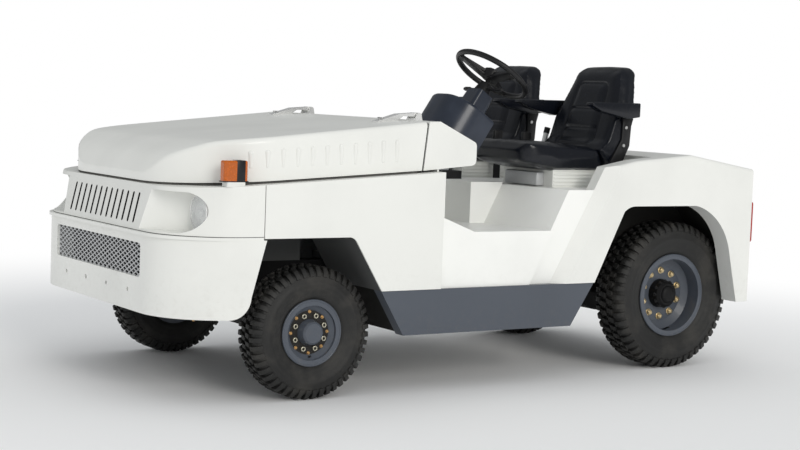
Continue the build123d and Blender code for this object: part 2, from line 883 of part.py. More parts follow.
# Rear wheelhouses: bent splash plates between the fenders and the inner side of the tyres
wheelhouse_top = platform_z - 54
wheelhouse_inner = rear_wheel_y - rear_tyre_width / 2
with BuildPart() as rear_wheelhouses:
    with BuildSketch(side_plane(fender_inner)):
        with BuildLine():
            Polyline(
                (ra + 640, sill_top + 6),
                (ra + 486, wheelhouse_top - 30),
                (ra + 392, wheelhouse_top),
                (ra - 120, wheelhouse_top),
                (tail + 2 * sheet, rear_z + 206),
            )
        trace(line_width=sheet)
    extrude(amount=fender_inner - wheelhouse_inner)
    mirror(about=Plane.XZ)
keep(rear_wheelhouses, "rear_wheelhouses")

# Rear deck behind the seats
deck_front = ra + 215
deck_z = platform_z + 161
with BuildPart() as rear_deck:
    with BuildSketch(side_plane(fender_inner)):
        profile(
            (
                (deck_front, platform_z),
                (deck_front, deck_z),
                (ra + 33, fender_peak_z),
                (tail + sheet, fender_tail_z + 2),
                (tail + sheet, fender_tail_z - sheet),
                (ra + 33, fender_peak_z - sheet),
                (deck_front - sheet, deck_z - sheet),
                (deck_front - sheet, platform_z),
            )
        )
    extrude(amount=2 * fender_inner)
keep(rear_deck, "rear_deck")

# Tail panel with a tow coupling below and a lamp on each fender's back
with BuildPart() as tail_panel:
    with BuildSketch(front_plane(tail, (fender_low + fender_tail_z) / 2)):
        Rectangle(2 * fender_inner, fender_tail_z - fender_low)
    extrude(amount=sheet)
keep(tail_panel, "tail_panel")

lamp_w = 80.0
lamp_h = 210.0
lamp_mid_z = platform_z - 164
with BuildPart() as tail_lamps:
    with BuildSketch(front_plane(tail, lamp_mid_z)):
        with GridLocations(fender_inner + half, 0, 2, 1):
            RectangleRounded(lamp_w, lamp_h, 14)
    extrude(amount=-24)
    fillet(tail_lamps.edges().group_by(Axis.X)[0], radius=6)
keep(tail_lamps, "tail_lamps")

jaw_z = 510.0
jaw_gap = 76.0
jaw_plate = 28.0
jaw_half = 95.0
jaw_lip = 0.7 * jaw_half
jaw_foot = 24.0
jaw_root = jaw_foot - 4
jaw_foot_width = 260.0
jaw_foot_height = 240.0
jaw_pin_r = 16.0
jaw_pin_x = tail - jaw_reach + 48
with BuildPart() as tow_coupling:
    with BuildSketch(Plane(origin=(tail, 0, jaw_z), x_dir=(0, 1, 0), z_dir=(-1, 0, 0))):
        RectangleRounded(jaw_foot_width, jaw_foot_height, 20)
    extrude(amount=jaw_foot)
    with BuildSketch(Plane.XY.offset(jaw_z - jaw_gap / 2 - jaw_plate)):
        with BuildLine():
            Polyline(
                (jaw_pin_x, -jaw_lip),
                (tail - jaw_root, -jaw_half),
                (tail - jaw_root, jaw_half),
                (jaw_pin_x, jaw_lip),
            )
            ThreePointArc((jaw_pin_x, jaw_lip), (tail - jaw_reach, 0), (jaw_pin_x, -jaw_lip))
        make_face()
    extrude(amount=2 * jaw_plate + jaw_gap)
    with BuildSketch(Plane(origin=(tail - jaw_foot - jaw_reach, 0, jaw_z))):
        Rectangle(2 * jaw_reach, 3 * jaw_half)
    extrude(amount=jaw_gap / 2, both=True, mode=Mode.SUBTRACT)
    with BuildSketch(Plane(origin=(jaw_pin_x, 0, jaw_z))):
        Circle(jaw_pin_r)
    extrude(amount=2 * jaw_half, both=True, mode=Mode.SUBTRACT)
keep(tow_coupling, "tow_coupling")

# Seats
seat_inset = 435.0
seat_y = half - seat_inset
seat_half = 235.0
riser_rise = 92.0
riser_length = 360.0
riser_width = 400.0
seat_length = 540.0
cushion_thick = 122.0
cushion_corner = 90.0
back_height = 518.0
back_half = 245.0
back_top_half = 158.0
riser_top = platform_z + riser_rise
with BuildPart() as seat_frames:
    with BuildSketch(Plane(origin=(ra + 552, 0, platform_z))):
        with GridLocations(0, 2 * seat_y, 1, 2):
            Rectangle(riser_length, riser_width)
    extrude(amount=riser_rise)
keep(seat_frames, "seat_frames")

seat_back_x = ra + 400
with BuildPart() as seat_cushions:
    with BuildSketch(side_plane(seat_y + seat_half)):
        profile(
            (
                (seat_back_x + seat_length - 10, riser_top + 34),
                (seat_back_x + seat_length, riser_top + 90),
                (seat_back_x + seat_length - 35, riser_top + cushion_thick),
                (seat_back_x + 80, riser_top + 96),
                (seat_back_x, riser_top),
                (seat_back_x + 330, riser_top),
            )
        )
    extrude(amount=2 * seat_half)
    with BuildSketch(Plane(origin=(seat_back_x + seat_length / 2, seat_y, riser_top))):
        RectangleRounded(seat_length, 2 * seat_half, cushion_corner)
    extrude(amount=2 * cushion_thick, mode=Mode.INTERSECT)
    mirror(about=Plane.XZ)
keep(seat_cushions, "seat_cushions")

back_shoulder = 258.0
back_plane = Plane(origin=(seat_back_x + 100, seat_y, riser_top), x_dir=(0, 1, 0), z_dir=(1, 0, 0))
with BuildPart() as seat_backs:
    with BuildSketch(side_plane(seat_y + back_half)):
        profile(
            (
                (seat_back_x + 80, riser_top + 96),
                (seat_back_x, riser_top),
                (seat_back_x - 70, riser_top),
                (seat_back_x - 205, riser_top + back_height - 28),
                (seat_back_x - 188, riser_top + back_height),
                (seat_back_x - 132, riser_top + back_height - 6),
                (seat_back_x - 98, riser_top + back_height - 38),
                (seat_back_x + 20, riser_top + 140),
            )
        )
    extrude(amount=2 * back_half)
    with BuildSketch(back_plane) as back_outline:
        profile(
            (
                (10 - back_half, 0),
                (-back_half, 90),
                (-back_half, back_shoulder),
                (-back_top_half, back_height),
                (back_top_half, back_height),
                (back_half, back_shoulder),
                (back_half, 90),
                (back_half - 10, 0),
            )
        )
        fillet(back_outline.vertices().group_by(Axis.Y)[-1], radius=60)
    extrude(amount=-2 * seat_length, mode=Mode.INTERSECT)
    mirror(about=Plane.XZ)
keep(seat_backs, "seat_backs")

arm_w = 55.0
arm_offset = 288.0
arm_top = riser_top + 336
arm_bracket = arm_offset - arm_w / 2 - back_half
with BuildPart() as armrests:
    for arm_side in (-1, 1):
        with BuildSketch(side_plane(seat_y + arm_side * arm_offset + arm_w / 2)):
            profile(
                (
                    (ra + 285, arm_top - 72),
                    (ra + 285, arm_top),
                    (ra + 592, arm_top - 3),
                    (ra + 598, arm_top - 18),
                    (ra + 535, arm_top - 48),
                    (ra + 365, arm_top - 82),
                )
            )
        extrude(amount=arm_w)
        with BuildSketch(side_plane(seat_y + arm_side * (back_half + arm_bracket / 2) + arm_bracket / 2)):
            profile(
                (
                    (ra + 288, arm_top - 30),
                    (ra + 345, arm_top - 40),
                    (ra + 352, riser_top + 150),
                    (ra + 420, riser_top + 40),
                    (ra + 350, riser_top + 20),
                    (ra + 300, riser_top + 120),
                )
            )
        extrude(amount=arm_bracket)
    mirror(about=Plane.XZ)
keep(armrests, "armrests")

# Dash pod with the column shroud, steering column and wheel
column_inset = 441.0
column_y = half - column_inset
wheel_x = fa - 1190
wheel_z = 1460.0
column_tilt = radians(34.0)
wheel_r = 200.0
wheel_rim_r = 14.0
shaft_r = 10.0
pod_reach = 186.0
pod_rear = 50.0
pod_half = 168.0
pod_corner = 140.0
pod_start = 241.0
pod_length = 300.0
pod_edge_r = 16.0
shroud_start = 117.0
shroud_length = 210.0
shroud_width = 118.0
shroud_depth = 92.0
column_plane = Plane(
    origin=(wheel_x, column_y, wheel_z), x_dir=(0, 1, 0), z_dir=(-sin(column_tilt), 0, cos(column_tilt))
)
pod_plane = Plane(
    origin=column_plane.offset(-pod_start).origin,
    x_dir=(cos(column_tilt), 0, sin(column_tilt)),
    z_dir=column_plane.z_dir,
)
cowl_plane = Plane(origin=(fa + cowl_back, 0, cowl_back_z), z_dir=(-cowl_slope, 0, 1))
with BuildPart() as dashboard:
    with BuildSketch(pod_plane):
        nose_face(pod_reach, -pod_rear, pod_half, pod_corner)
    extrude(amount=-pod_length)
    pod_top = dashboard.faces().sort_by(Axis(column_plane.origin, column_plane.z_dir))[-1]
    fillet(pod_top.edges(), radius=pod_edge_r)
    split(bisect_by=cowl_plane, keep=Keep.TOP)
    with BuildSketch(column_plane.offset(-shroud_start)):
        RectangleRounded(shroud_width, shroud_depth, 16)
    extrude(amount=-shroud_length, taper=-3)
keep(dashboard, "dashboard")

boot_r = 42.0
hub_gap = 60.0
stalk_drop = 90.0
stalk_r = 6.0
stalk_reach = 150.0
stalk_root = (wheel_x + stalk_drop * sin(column_tilt), column_y, wheel_z - stalk_drop * cos(column_tilt))
with BuildPart() as steering_column:
    with BuildSketch(column_plane.offset(-shroud_start)):
        Circle(boot_r)
    extrude(amount=shroud_start - hub_gap, taper=12)
    with BuildSketch(column_plane.offset(-hub_gap)):
        Circle(shaft_r)
    extrude(amount=hub_gap - 10)
    with BuildSketch(Plane(origin=stalk_root, x_dir=(1, 0, 0), z_dir=(0, 1, 0))):
        Circle(stalk_r)
    extrude(amount=stalk_reach, both=True)
keep(steering_column, "steering_column")

spoke_w = 40.0
wheel_hub_r = 44.0
with BuildPart() as steering_wheel:
    with BuildSketch(Plane(origin=column_plane.origin, x_dir=column_plane.x_dir, z_dir=column_plane.y_dir)):
        with Locations((wheel_r - wheel_rim_r, 0)):
            Circle(wheel_rim_r)
    revolve(axis=Axis(column_plane.origin, column_plane.z_dir))
    with BuildSketch(column_plane.offset(-30)):
        Circle(wheel_hub_r)
    extrude(amount=40)
    for spoke_turn in (0, 120, 240):
        with BuildSketch(column_plane.offset(-12)):
            with PolarLocations(0, 1, start_angle=spoke_turn):
                with Locations((wheel_r / 2, 0)):
                    Rectangle(wheel_r - 2 * wheel_rim_r + 10, spoke_w)
        extrude(amount=14)
    with BuildSketch(column_plane.offset(-30)):
        Circle(shaft_r + running_clearance)
    extrude(amount=20 + running_clearance, mode=Mode.SUBTRACT)
keep(steering_wheel, "steering_wheel")

# Levers on the console and pedals in the footwell
lever_x = fa - 1180
lever_y = 60.0
lever_tilt = radians(20)
lever_length = 230.0
lever_r = 9.0
knob_r = 19.0
lever_plane = Plane(
    origin=(lever_x, lever_y, console_top + 20),
    x_dir=(0, 1, 0),
    z_dir=(-sin(lever_tilt), 0, cos(lever_tilt)),
)
with BuildPart() as control_levers:
    with BuildSketch(Plane(origin=(lever_x, lever_y, console_top))):
        RectangleRounded(120, 70, 12)
    extrude(amount=40)
    with BuildSketch(lever_plane):
        Circle(lever_r)
    extrude(amount=lever_length)
    with Locations(lever_plane.from_local_coords((0, 0, lever_length))):
        Sphere(knob_r)
keep(control_levers, "control_levers")

pedal_x = fa - 760
pedal_places = ((0, column_y + 140), (0, column_y + 30))
with BuildPart() as pedals:
    with BuildSketch(Plane(origin=(pedal_x, 0, floor_z))):
        with Locations(*pedal_places):
            Rectangle(20, 30)
    extrude(amount=120)
    with BuildSketch(Plane(origin=(pedal_x - 4, 0, floor_z + 110), x_dir=(0, 1, 0), z_dir=(-0.8, 0, 0.6))):
        with Locations((column_y + 140, 0), (column_y + 30, 0)):
            RectangleRounded(80, 70, 8)
    extrude(amount=12)
keep(pedals, "pedals")

# Front axle beam, leaf springs and rear axle
beam_h = 80.0
beam_w = 90.0
boss_r = 40.0
boss_h = 110.0
spring_w = 60.0
spring_thick = 40.0
with BuildPart() as front_axle:
    with BuildSketch(Plane(origin=(fa, 0, front_z - beam_h / 2))):
        Rectangle(beam_w, 2 * kingpin_y)
        with GridLocations(0, 2 * kingpin_y, 1, 2):
            Circle(beam_w / 2)
    extrude(amount=beam_h)
    with BuildSketch(Plane(origin=(fa, 0, front_z - boss_h / 2))):
        with GridLocations(0, 2 * kingpin_y, 1, 2):
            Circle(boss_r)
    extrude(amount=boss_h)
    with BuildSketch(Plane(origin=(fa, 0, front_z - boss_h))):
        with GridLocations(0, 2 * kingpin_y, 1, 2):
            Circle(kingpin_r + running_clearance)
    extrude(amount=2 * boss_h, mode=Mode.SUBTRACT)
keep(front_axle, "front_axle")

spring_low = front_z + beam_h / 2
spring_reach = 430.0
leaf_reach = spring_reach - spring_thick
eye_z = rail_low - spring_thick
with BuildPart() as leaf_springs:
    with BuildSketch(side_plane(rail_y + spring_w / 2)):
        with BuildLine():
            ThreePointArc((fa - spring_reach, eye_z), (fa, spring_low), (fa + spring_reach, eye_z))
            Polyline((fa + spring_reach, eye_z), (fa + spring_reach, rail_low), (fa + leaf_reach, rail_low))
            ThreePointArc(
                (fa + leaf_reach, rail_low), (fa, spring_low + spring_thick), (fa - leaf_reach, rail_low)
            )
            Polyline((fa - leaf_reach, rail_low), (fa - spring_reach, rail_low), (fa - spring_reach, eye_z))
        make_face()
    extrude(amount=spring_w)
    mirror(about=Plane.XZ)
keep(leaf_springs, "leaf_springs")

axle_tube_r = 62.0
axle_stub_r = 34.0
drive_housing_r = 150.0
drive_housing_half = 110.0
axle_end = rear_wheel_y - 40
with BuildPart() as rear_axle:
    with BuildSketch(Plane(origin=(ra, 0, rear_z), x_dir=(1, 0, 0), z_dir=(0, 1, 0))):
        Circle(axle_tube_r)
    extrude(amount=axle_end - 70, both=True)
    with BuildSketch(Plane(origin=(ra, 0, rear_z), x_dir=(1, 0, 0), z_dir=(0, 1, 0))):
        Circle(axle_stub_r)
    extrude(amount=axle_end + 40, both=True)
    with BuildSketch(Plane(origin=(ra, 0, rear_z), x_dir=(1, 0, 0), z_dir=(0, 1, 0))):
        Circle(drive_housing_r)
    extrude(amount=drive_housing_half, both=True)
    with BuildSketch(Plane(origin=(ra, 0, rear_z))):
        with GridLocations(0, 2 * rail_y, 1, 2):
            Rectangle(100, rail_w)
    extrude(amount=rail_low - rear_z)
keep(rear_axle, "rear_axle")

# Steering knuckles, tie rod
ear_gap = 1.0
ear_thick = 18.0
ear_r = 36.0
web_y = kingpin_y + boss_r + 6
spindle_end = front_wheel_y + 40
arm_z = front_z - boss_h / 2 - ear_gap - ear_thick
with BuildPart() as knuckle_left:
    for ear_z in (front_z + boss_h / 2 + ear_gap, arm_z):
        with BuildSketch(Plane(origin=(fa, kingpin_y, ear_z))):
            Circle(ear_r)
        extrude(amount=ear_thick)
        with BuildSketch(Plane(origin=(fa, (kingpin_y + web_y + 16) / 2, ear_z))):
            Rectangle(2 * ear_r, web_y + 16 - kingpin_y)
        extrude(amount=ear_thick)
    with BuildSketch(Plane(origin=(fa, web_y + 8, arm_z))):
        Rectangle(2 * ear_r, 16)
    extrude(amount=boss_h + 2 * ear_gap + 2 * ear_thick)
    with BuildSketch(Plane(origin=(fa, kingpin_y, arm_z))):
        Circle(kingpin_r)
    extrude(amount=boss_h + 2 * ear_gap + 2 * ear_thick)
    with BuildSketch(Plane(origin=(fa, web_y, front_z), x_dir=(1, 0, 0), z_dir=(0, 1, 0))):
        Circle(spindle_r)
    extrude(amount=spindle_end - web_y)
    with BuildSketch(Plane(origin=(fa - arm_length / 2, kingpin_y, arm_z))):
        Rectangle(arm_length, 36)
        with Locations((-arm_length / 2, 0)):
            Circle(20)
    extrude(amount=ear_thick)
    with BuildSketch(Plane(origin=(fa - arm_length, kingpin_y, arm_z - 34))):
        Circle(arm_pin_r)
    extrude(amount=40)
keep(knuckle_left, "knuckle_left")

with BuildPart() as knuckle_right:
    mirror(knuckle_left.part, about=Plane.XZ)
keep(knuckle_right, "knuckle_right")

rod_r = 13.0
rod_z = arm_z - 20
with BuildPart() as tie_rod:
    with BuildSketch(Plane(origin=(fa - arm_length, 0, rod_z), x_dir=(1, 0, 0), z_dir=(0, 1, 0))):
        Circle(rod_r)
    extrude(amount=kingpin_y - 10, both=True)
    with BuildSketch(Plane(origin=(fa - arm_length, 0, rod_z - 14))):
        with GridLocations(0, 2 * kingpin_y, 1, 2):
            Circle(22)
    extrude(amount=28)
    with BuildSketch(Plane(origin=(fa - arm_length, 0, rod_z - 40))):
        with GridLocations(0, 2 * kingpin_y, 1, 2):
            Circle(arm_pin_r + running_clearance)
    extrude(amount=80, mode=Mode.SUBTRACT)
keep(tie_rod, "tie_rod")


def wheel_plane(x, y, z):
    """Section plane through a wheel: local x runs outwards along the axle, local y runs up."""
    return Plane(origin=(x, y, z), x_dir=(0, 1, 0), z_dir=(1, 0, 0))


def tyre_section(od, width, bead_r, rim_width):
    """Half section of a tyre drawn in the open sketch."""
    r = od / 2
    bead = rim_width / 2 - 10
    mid = (r + bead_r) / 2
    with BuildLine() as outline:
        Polyline((-bead, bead_r), (bead, bead_r), (bead + 2, bead_r + 20))
        ThreePointArc((bead + 2, bead_r + 20), (width / 2, mid), (width / 2 - 10, r - 24))
        Polyline(
            (width / 2 - 10, r - 24),
            (width / 2 - 22, r - 4),
            (width / 2 - 40, r),
            (40 - width / 2, r),
            (22 - width / 2, r - 4),
            (10 - width / 2, r - 24),
        )
        ThreePointArc((10 - width / 2, r - 24), (-width / 2, mid), (-bead - 2, bead_r + 20))
        Line((-bead - 2, bead_r + 20), (-bead, bead_r))
    make_face(outline.edges())


def rim_section(bead_r, flange_r, rim_width, disc_at, disc_r):
    """Half section of a steel wheel: barrel, two flanges and a dished disc."""
    b = rim_width / 2
    profile(
        (
            (-b, bead_r - 6),
            (-b, flange_r),
            (-b + 6, flange_r),
            (-b + 8, bead_r),
            (b - 8, bead_r),
            (b - 6, flange_r),
            (b, flange_r),
            (b, bead_r - 6),
            (disc_at + 24, bead_r - 8),
            (disc_at + 8, disc_r + 14),
            (disc_at + 8, 40),
            (disc_at, 40),
            (disc_at, disc_r + 8),
            (disc_at + 10, bead_r - 12),
        )
    )


# Front wheels
front_disc = 34.0
front_disc_r = 84.0
with BuildPart() as tyre_front_left:
    with BuildSketch(wheel_plane(fa, front_wheel_y, front_z)):
        tyre_section(front_tyre_od, front_tyre_width, front_bead_r, front_rim_width)
    revolve(axis=Axis((fa, 0, front_z), (0, 1, 0)))
keep(tyre_front_left, "tyre_front_left")

with BuildPart() as rim_front_left:
    with BuildSketch(wheel_plane(fa, front_wheel_y, front_z)):
        rim_section(front_bead_r, front_flange_r, front_rim_width, front_disc, front_disc_r)
    revolve(axis=Axis((fa, 0, front_z), (0, 1, 0)))
keep(rim_front_left, "rim_front_left")

front_hub_in = web_y + 16 + 5
with BuildPart() as hub_front_left:
    with BuildSketch(wheel_plane(fa, 0, front_z)):
        profile(
            (
                (front_hub_in, spindle_r + running_clearance),
                (front_hub_in, 62),
                (front_wheel_y + front_disc, 62),
                (front_wheel_y + front_disc, 39),
                (front_wheel_y + front_disc + 8, 39),
                (front_wheel_y + front_disc + 8, 58),
                (front_wheel_y + front_disc + 45, 50),
                (front_wheel_y + front_disc + 52, 42),
                (front_wheel_y + front_disc + 52, 0),
                (spindle_end + 5, 0),
                (spindle_end + 5, spindle_r + running_clearance),
            )
        )
    revolve(axis=Axis((fa, 0, front_z), (0, 1, 0)))
keep(hub_front_left, "hub_front_left")

# Rear wheels
rear_disc = -22.0
rear_disc_r = 130.0
with BuildPart() as tyre_rear_left:
    with BuildSketch(wheel_plane(ra, rear_wheel_y, rear_z)):
        tyre_section(rear_tyre_od, rear_tyre_width, rear_bead_r, rear_rim_width)
    revolve(axis=Axis((ra, 0, rear_z), (0, 1, 0)))
keep(tyre_rear_left, "tyre_rear_left")

with BuildPart() as rim_rear_left:
    with BuildSketch(wheel_plane(ra, rear_wheel_y, rear_z)):
        rim_section(rear_bead_r, rear_flange_r, rear_rim_width, rear_disc, rear_disc_r)
    revolve(axis=Axis((ra, 0, rear_z), (0, 1, 0)))
keep(rim_rear_left, "rim_rear_left")

rear_hub_in = axle_end - 70 + 5
with BuildPart() as hub_rear_left:
    with BuildSketch(wheel_plane(ra, 0, rear_z)):
        profile(
            (
                (rear_hub_in, axle_stub_r + running_clearance),
                (rear_hub_in, 90),
                (rear_wheel_y + rear_disc, 90),
                (rear_wheel_y + rear_disc, 39),
                (rear_wheel_y + rear_disc + 8, 39),
                (rear_wheel_y + rear_disc + 8, 74),
                (rear_wheel_y + rear_disc + 60, 66),
                (rear_wheel_y + rear_disc + 72, 54),
                (rear_wheel_y + rear_disc + 72, 0),
                (axle_end + 45, 0),
                (axle_end + 45, axle_stub_r + running_clearance),
            )
        )
    revolve(axis=Axis((ra, 0, rear_z), (0, 1, 0)))
keep(hub_rear_left, "hub_rear_left")

for left_piece, right_name in (
    (tyre_front_left, "tyre_front_right"),
    (rim_front_left, "rim_front_right"),
    (hub_front_left, "hub_front_right"),
    (tyre_rear_left, "tyre_rear_right"),
    (rim_rear_left, "rim_rear_right"),
    (hub_rear_left, "hub_rear_right"),
):
    with BuildPart() as right_piece:
        mirror(left_piece.part, about=Plane.XZ)
    keep(right_piece, right_name)
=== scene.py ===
"""Dressed model of an airport baggage tug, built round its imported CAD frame.

Metres, in the frame's own axes: +X forward, +Y to the vehicle's left, +Z up, the ground at zero.
"""

from __future__ import annotations

import json
import logging
import math
from dataclasses import dataclass, field
from enum import Enum
from typing import Callable, Iterable, Sequence

import bmesh
import bpy
from mathutils import Matrix, Vector

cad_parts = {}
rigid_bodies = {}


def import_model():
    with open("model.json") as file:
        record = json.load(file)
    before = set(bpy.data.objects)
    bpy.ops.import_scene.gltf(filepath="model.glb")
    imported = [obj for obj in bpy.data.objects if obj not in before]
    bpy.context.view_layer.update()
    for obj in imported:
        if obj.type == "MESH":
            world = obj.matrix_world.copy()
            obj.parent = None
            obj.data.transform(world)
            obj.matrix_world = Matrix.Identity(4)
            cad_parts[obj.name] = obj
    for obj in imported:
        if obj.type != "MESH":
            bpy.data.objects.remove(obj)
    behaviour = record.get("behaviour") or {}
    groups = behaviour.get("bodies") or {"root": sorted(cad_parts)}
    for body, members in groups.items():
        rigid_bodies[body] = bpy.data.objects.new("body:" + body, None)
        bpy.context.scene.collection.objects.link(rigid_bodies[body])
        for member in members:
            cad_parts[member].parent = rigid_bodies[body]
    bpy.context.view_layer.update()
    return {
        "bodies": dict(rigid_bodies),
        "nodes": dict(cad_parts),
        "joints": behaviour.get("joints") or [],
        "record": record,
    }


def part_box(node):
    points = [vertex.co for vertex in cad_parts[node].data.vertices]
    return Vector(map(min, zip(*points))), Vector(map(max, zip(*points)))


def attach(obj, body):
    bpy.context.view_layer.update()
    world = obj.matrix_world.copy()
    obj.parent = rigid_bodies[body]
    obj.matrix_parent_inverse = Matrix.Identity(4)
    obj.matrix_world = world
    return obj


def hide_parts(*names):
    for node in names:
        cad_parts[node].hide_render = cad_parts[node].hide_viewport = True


LOG = logging.getLogger("tug")
Colour = tuple[float, float, float]
Point = tuple[float, float, float]
Outline = Sequence[tuple[float, float]]
# Colour of the dark line painted along a panel seam: painted shade of the joint.
SEAM_SHADE: Colour = (0.02, 0.02, 0.02)
WHITE: Colour = (1.0, 1.0, 1.0)
WELD = 1e-6
SMOOTH_EDGE = 35.0
SMOOTH_ROUND = 50.0
SMOOTH_BAR = 60.0


class Side(Enum):
    """The two sides of the vehicle."""

    LEFT = 1
    RIGHT = -1

    @property
    def word(self) -> str:
        """The side's name as the frame's nodes spell it."""
        return self.name.lower()


class Axle(Enum):
    """The two axles."""

    FRONT = "front"
    REAR = "rear"


class NutKind(Enum):
    """How the outer end of a nut or bolt looks."""

    PLAIN = "plain"
    OPEN = "open"
    DOMED = "domed"


class Value:
    """A float socket on which Python's operators add Math nodes."""

    def __init__(self, graph: Graph, socket: bpy.types.NodeSocket) -> None:
        """Wrap a socket of a graph."""
        self.graph = graph
        self.socket = socket

    def _math(self, operation: str, *terms: Value | float) -> Value:
        """Add a Math node.

        Args:
            operation: Blender's name of the operation.
            terms: its inputs, in order.

        Returns:
            The node's result.
        """
        node = self.graph.node("ShaderNodeMath", {"operation": operation}, dict(enumerate(terms)))
        return Value(self.graph, node.outputs[0])

    def __add__(self, other: Value | float) -> Value:
        """Sum."""
        return self._math("ADD", self, other)

    __radd__ = __add__

    def __sub__(self, other: Value | float) -> Value:
        """Difference."""
        return self._math("SUBTRACT", self, other)

    def __rsub__(self, other: float) -> Value:
        """Difference with the number first."""
        return self._math("SUBTRACT", other, self)

    def __mul__(self, other: Value | float) -> Value:
        """Product."""
        return self._math("MULTIPLY", self, other)

    __rmul__ = __mul__

    def step(self, low: float, high: float) -> Value:
        """Smooth step that goes from 0 at low to 1 at high, also where low is the larger.

        Args:
            low: the value that gives 0.
            high: the value that gives 1.

        Returns:
            The stepped value.
        """
        node = self.graph.node(
            "ShaderNodeMapRange",
            {"interpolation_type": "SMOOTHSTEP"},
            {"Value": self, "From Min": low, "From Max": high, "To Min": 0.0, "To Max": 1.0},
        )
        return Value(self.graph, node.outputs[0])


class Graph:
    """A node tree of any kind under construction."""

    def __init__(self, tree: bpy.types.NodeTree) -> None:
        """Take a tree and empty it."""
        self.tree = tree
        self.tree.nodes.clear()

    def feed(self, socket: bpy.types.NodeSocket, value: object) -> None:
        """Give a socket a link or a constant.

        Args:
            socket: the input.
            value: a Value or a socket to link, or a constant; a colour of three gets its alpha.
        """
        if isinstance(value, Value):
            value = value.socket
        if isinstance(value, bpy.types.NodeSocket):
            self.tree.links.new(value, socket)
            return
        if socket.type == "RGBA" and len(value) == 3:
            value = (*value, 1.0)
        socket.default_value = value

    def node(self, kind: str, settings: dict | None = None, sockets: dict | None = None) -> bpy.types.Node:
        """Add a node.

        Args:
            kind: the node's type.
            settings: attributes that are set first.
            sockets: constants or links by input name or index.

        Returns:
            The new node.
        """
        made = self.tree.nodes.new(kind)
        for key, value in (settings or {}).items():
            setattr(made, key, value)
        for key, value in (sockets or {}).items():
            self.feed(made.inputs[key], value)
        return made


class Shade(Graph):
    """One node material under construction, on object coordinates."""

    def __init__(self, name: str) -> None:
        """Start an empty material.

        Args:
            name: the material's name.
        """
        self.material = bpy.data.materials.new(name)
        self.material.use_nodes = True
        super().__init__(self.material.node_tree)
        self.place = self.node("ShaderNodeTexCoord").outputs["Object"]

    def noise(self, scale: float, detail: float = 3.0, rough: float = 0.5) -> Value:
        """Noise from 0 to 1.

        Args:
            scale: cycles a metre.
            detail: finer octaves.
            rough: strength of the finer octaves.

        Returns:
            The noise.
        """
        sockets = {"Vector": self.place, "Scale": scale, "Detail": detail, "Roughness": rough}
        return Value(self, self.node("ShaderNodeTexNoise", None, sockets).outputs[0])

    def cells(self, scale: float, feature: str = "DISTANCE_TO_EDGE") -> Value:
        """Distance in a pattern of cells.

        Args:
            scale: cells a metre.
            feature: Blender's name of the distance that is wanted.

        Returns:
            The distance, as a share of a cell.
        """
        sockets = {"Vector": self.place, "Scale": scale}
        made = self.node("ShaderNodeTexVoronoi", {"feature": feature}, sockets)
        return Value(self, made.outputs["Distance"])

    def height(self) -> Value:
        """Height above the ground, in metres."""
        return Value(self, self.node("ShaderNodeSeparateXYZ", None, {0: self.place}).outputs[2])

    def distance(self) -> Value:
        """Distance from the frame's origin, in metres."""
        made = self.node("ShaderNodeVectorMath", {"operation": "LENGTH"}, {0: self.place})
        return Value(self, made.outputs["Value"])

    def blend(self, share: Value, first: object, second: object) -> bpy.types.NodeSocket:
        """Mix two colours, 0 giving the first and 1 the second."""
        made = self.node("ShaderNodeMix", {"data_type": "RGBA"}, {0: share, 6: first, 7: second})
        return made.outputs[2]

    def bump(self, level: Value, depth: float, strength: float) -> bpy.types.NodeSocket:
        """Bump from a level, depth in metres."""
        made = self.node("ShaderNodeBump", None, {"Strength": strength, "Distance": depth, "Height": level})
        return made.outputs[0]

    def finished(self, shader: bpy.types.Node) -> bpy.types.Material:
        """End the material in a shader."""
        self.node("ShaderNodeOutputMaterial", None, {0: shader.outputs[0]})
        return self.material

    def surface(self, **sockets: object) -> bpy.types.Material:
        """End the material in a Principled shader, its inputs named with underscores for spaces."""
        named = {key.replace("_", " "): value for key, value in sockets.items()}
        return self.finished(self.node("ShaderNodeBsdfPrincipled", None, named))


@dataclass(frozen=True)
class Paint:
    """Sprayed enamel with orange peel, faint cloudiness and road dust low down, and, where a height is given,
    a dark line painted there as the shade in a seam.
    """

    name: str
    colour: Colour
    roughness: float = 0.34
    coat: float = 0.25
    dust: float = 0.25
    dust_colour: Colour = (0.42, 0.39, 0.34)
    dust_top: float = 0.75
    dust_foot: float = 0.15
    shine: float = 0.4
    sealed_below: float = 0.0
    seal_blur: float = 0.0004
    clouding: float = 0.93
    cloud_scale: float = 2.3
    speck_scale: float = 34.0
    peel_scale: float = 420.0
    peel_depth: float = 0.0004

    def material(self) -> bpy.types.Material:
        """Build the node material.

        Returns:
            The finished material.
        """
        shade = Shade(self.name)
        cloud = shade.noise(self.cloud_scale, 4.0)
        speck = shade.noise(self.speck_scale, 5.0, 0.65)
        low = shade.height().step(self.dust_top, self.dust_foot)
        grime = low * speck.step(0.45, 0.8) * self.dust
        deep = tuple(channel * self.clouding for channel in self.colour)
        toned = shade.blend(cloud.step(0.35, 0.75), self.colour, deep)
        dusted = shade.blend(grime, toned, self.dust_colour)
        # Dark line painted at sealed_below: painted shade of the joint between the bumper and the grille
        # panel.
        seam_shade = shade.height().step(self.sealed_below + self.seal_blur, self.sealed_below - self.seal_blur)
        return shade.surface(
            Base_Color=shade.blend(seam_shade, dusted, SEAM_SHADE),
            Roughness=cloud * 0.08 + grime * 0.4 + (self.roughness - 0.04),
            Coat_Weight=(1.0 - grime) * self.coat,
            Coat_Roughness=0.08,
            Specular_IOR_Level=self.shine,
            Normal=shade.bump(shade.noise(self.peel_scale, 1.0), self.peel_depth, 0.12),
        )


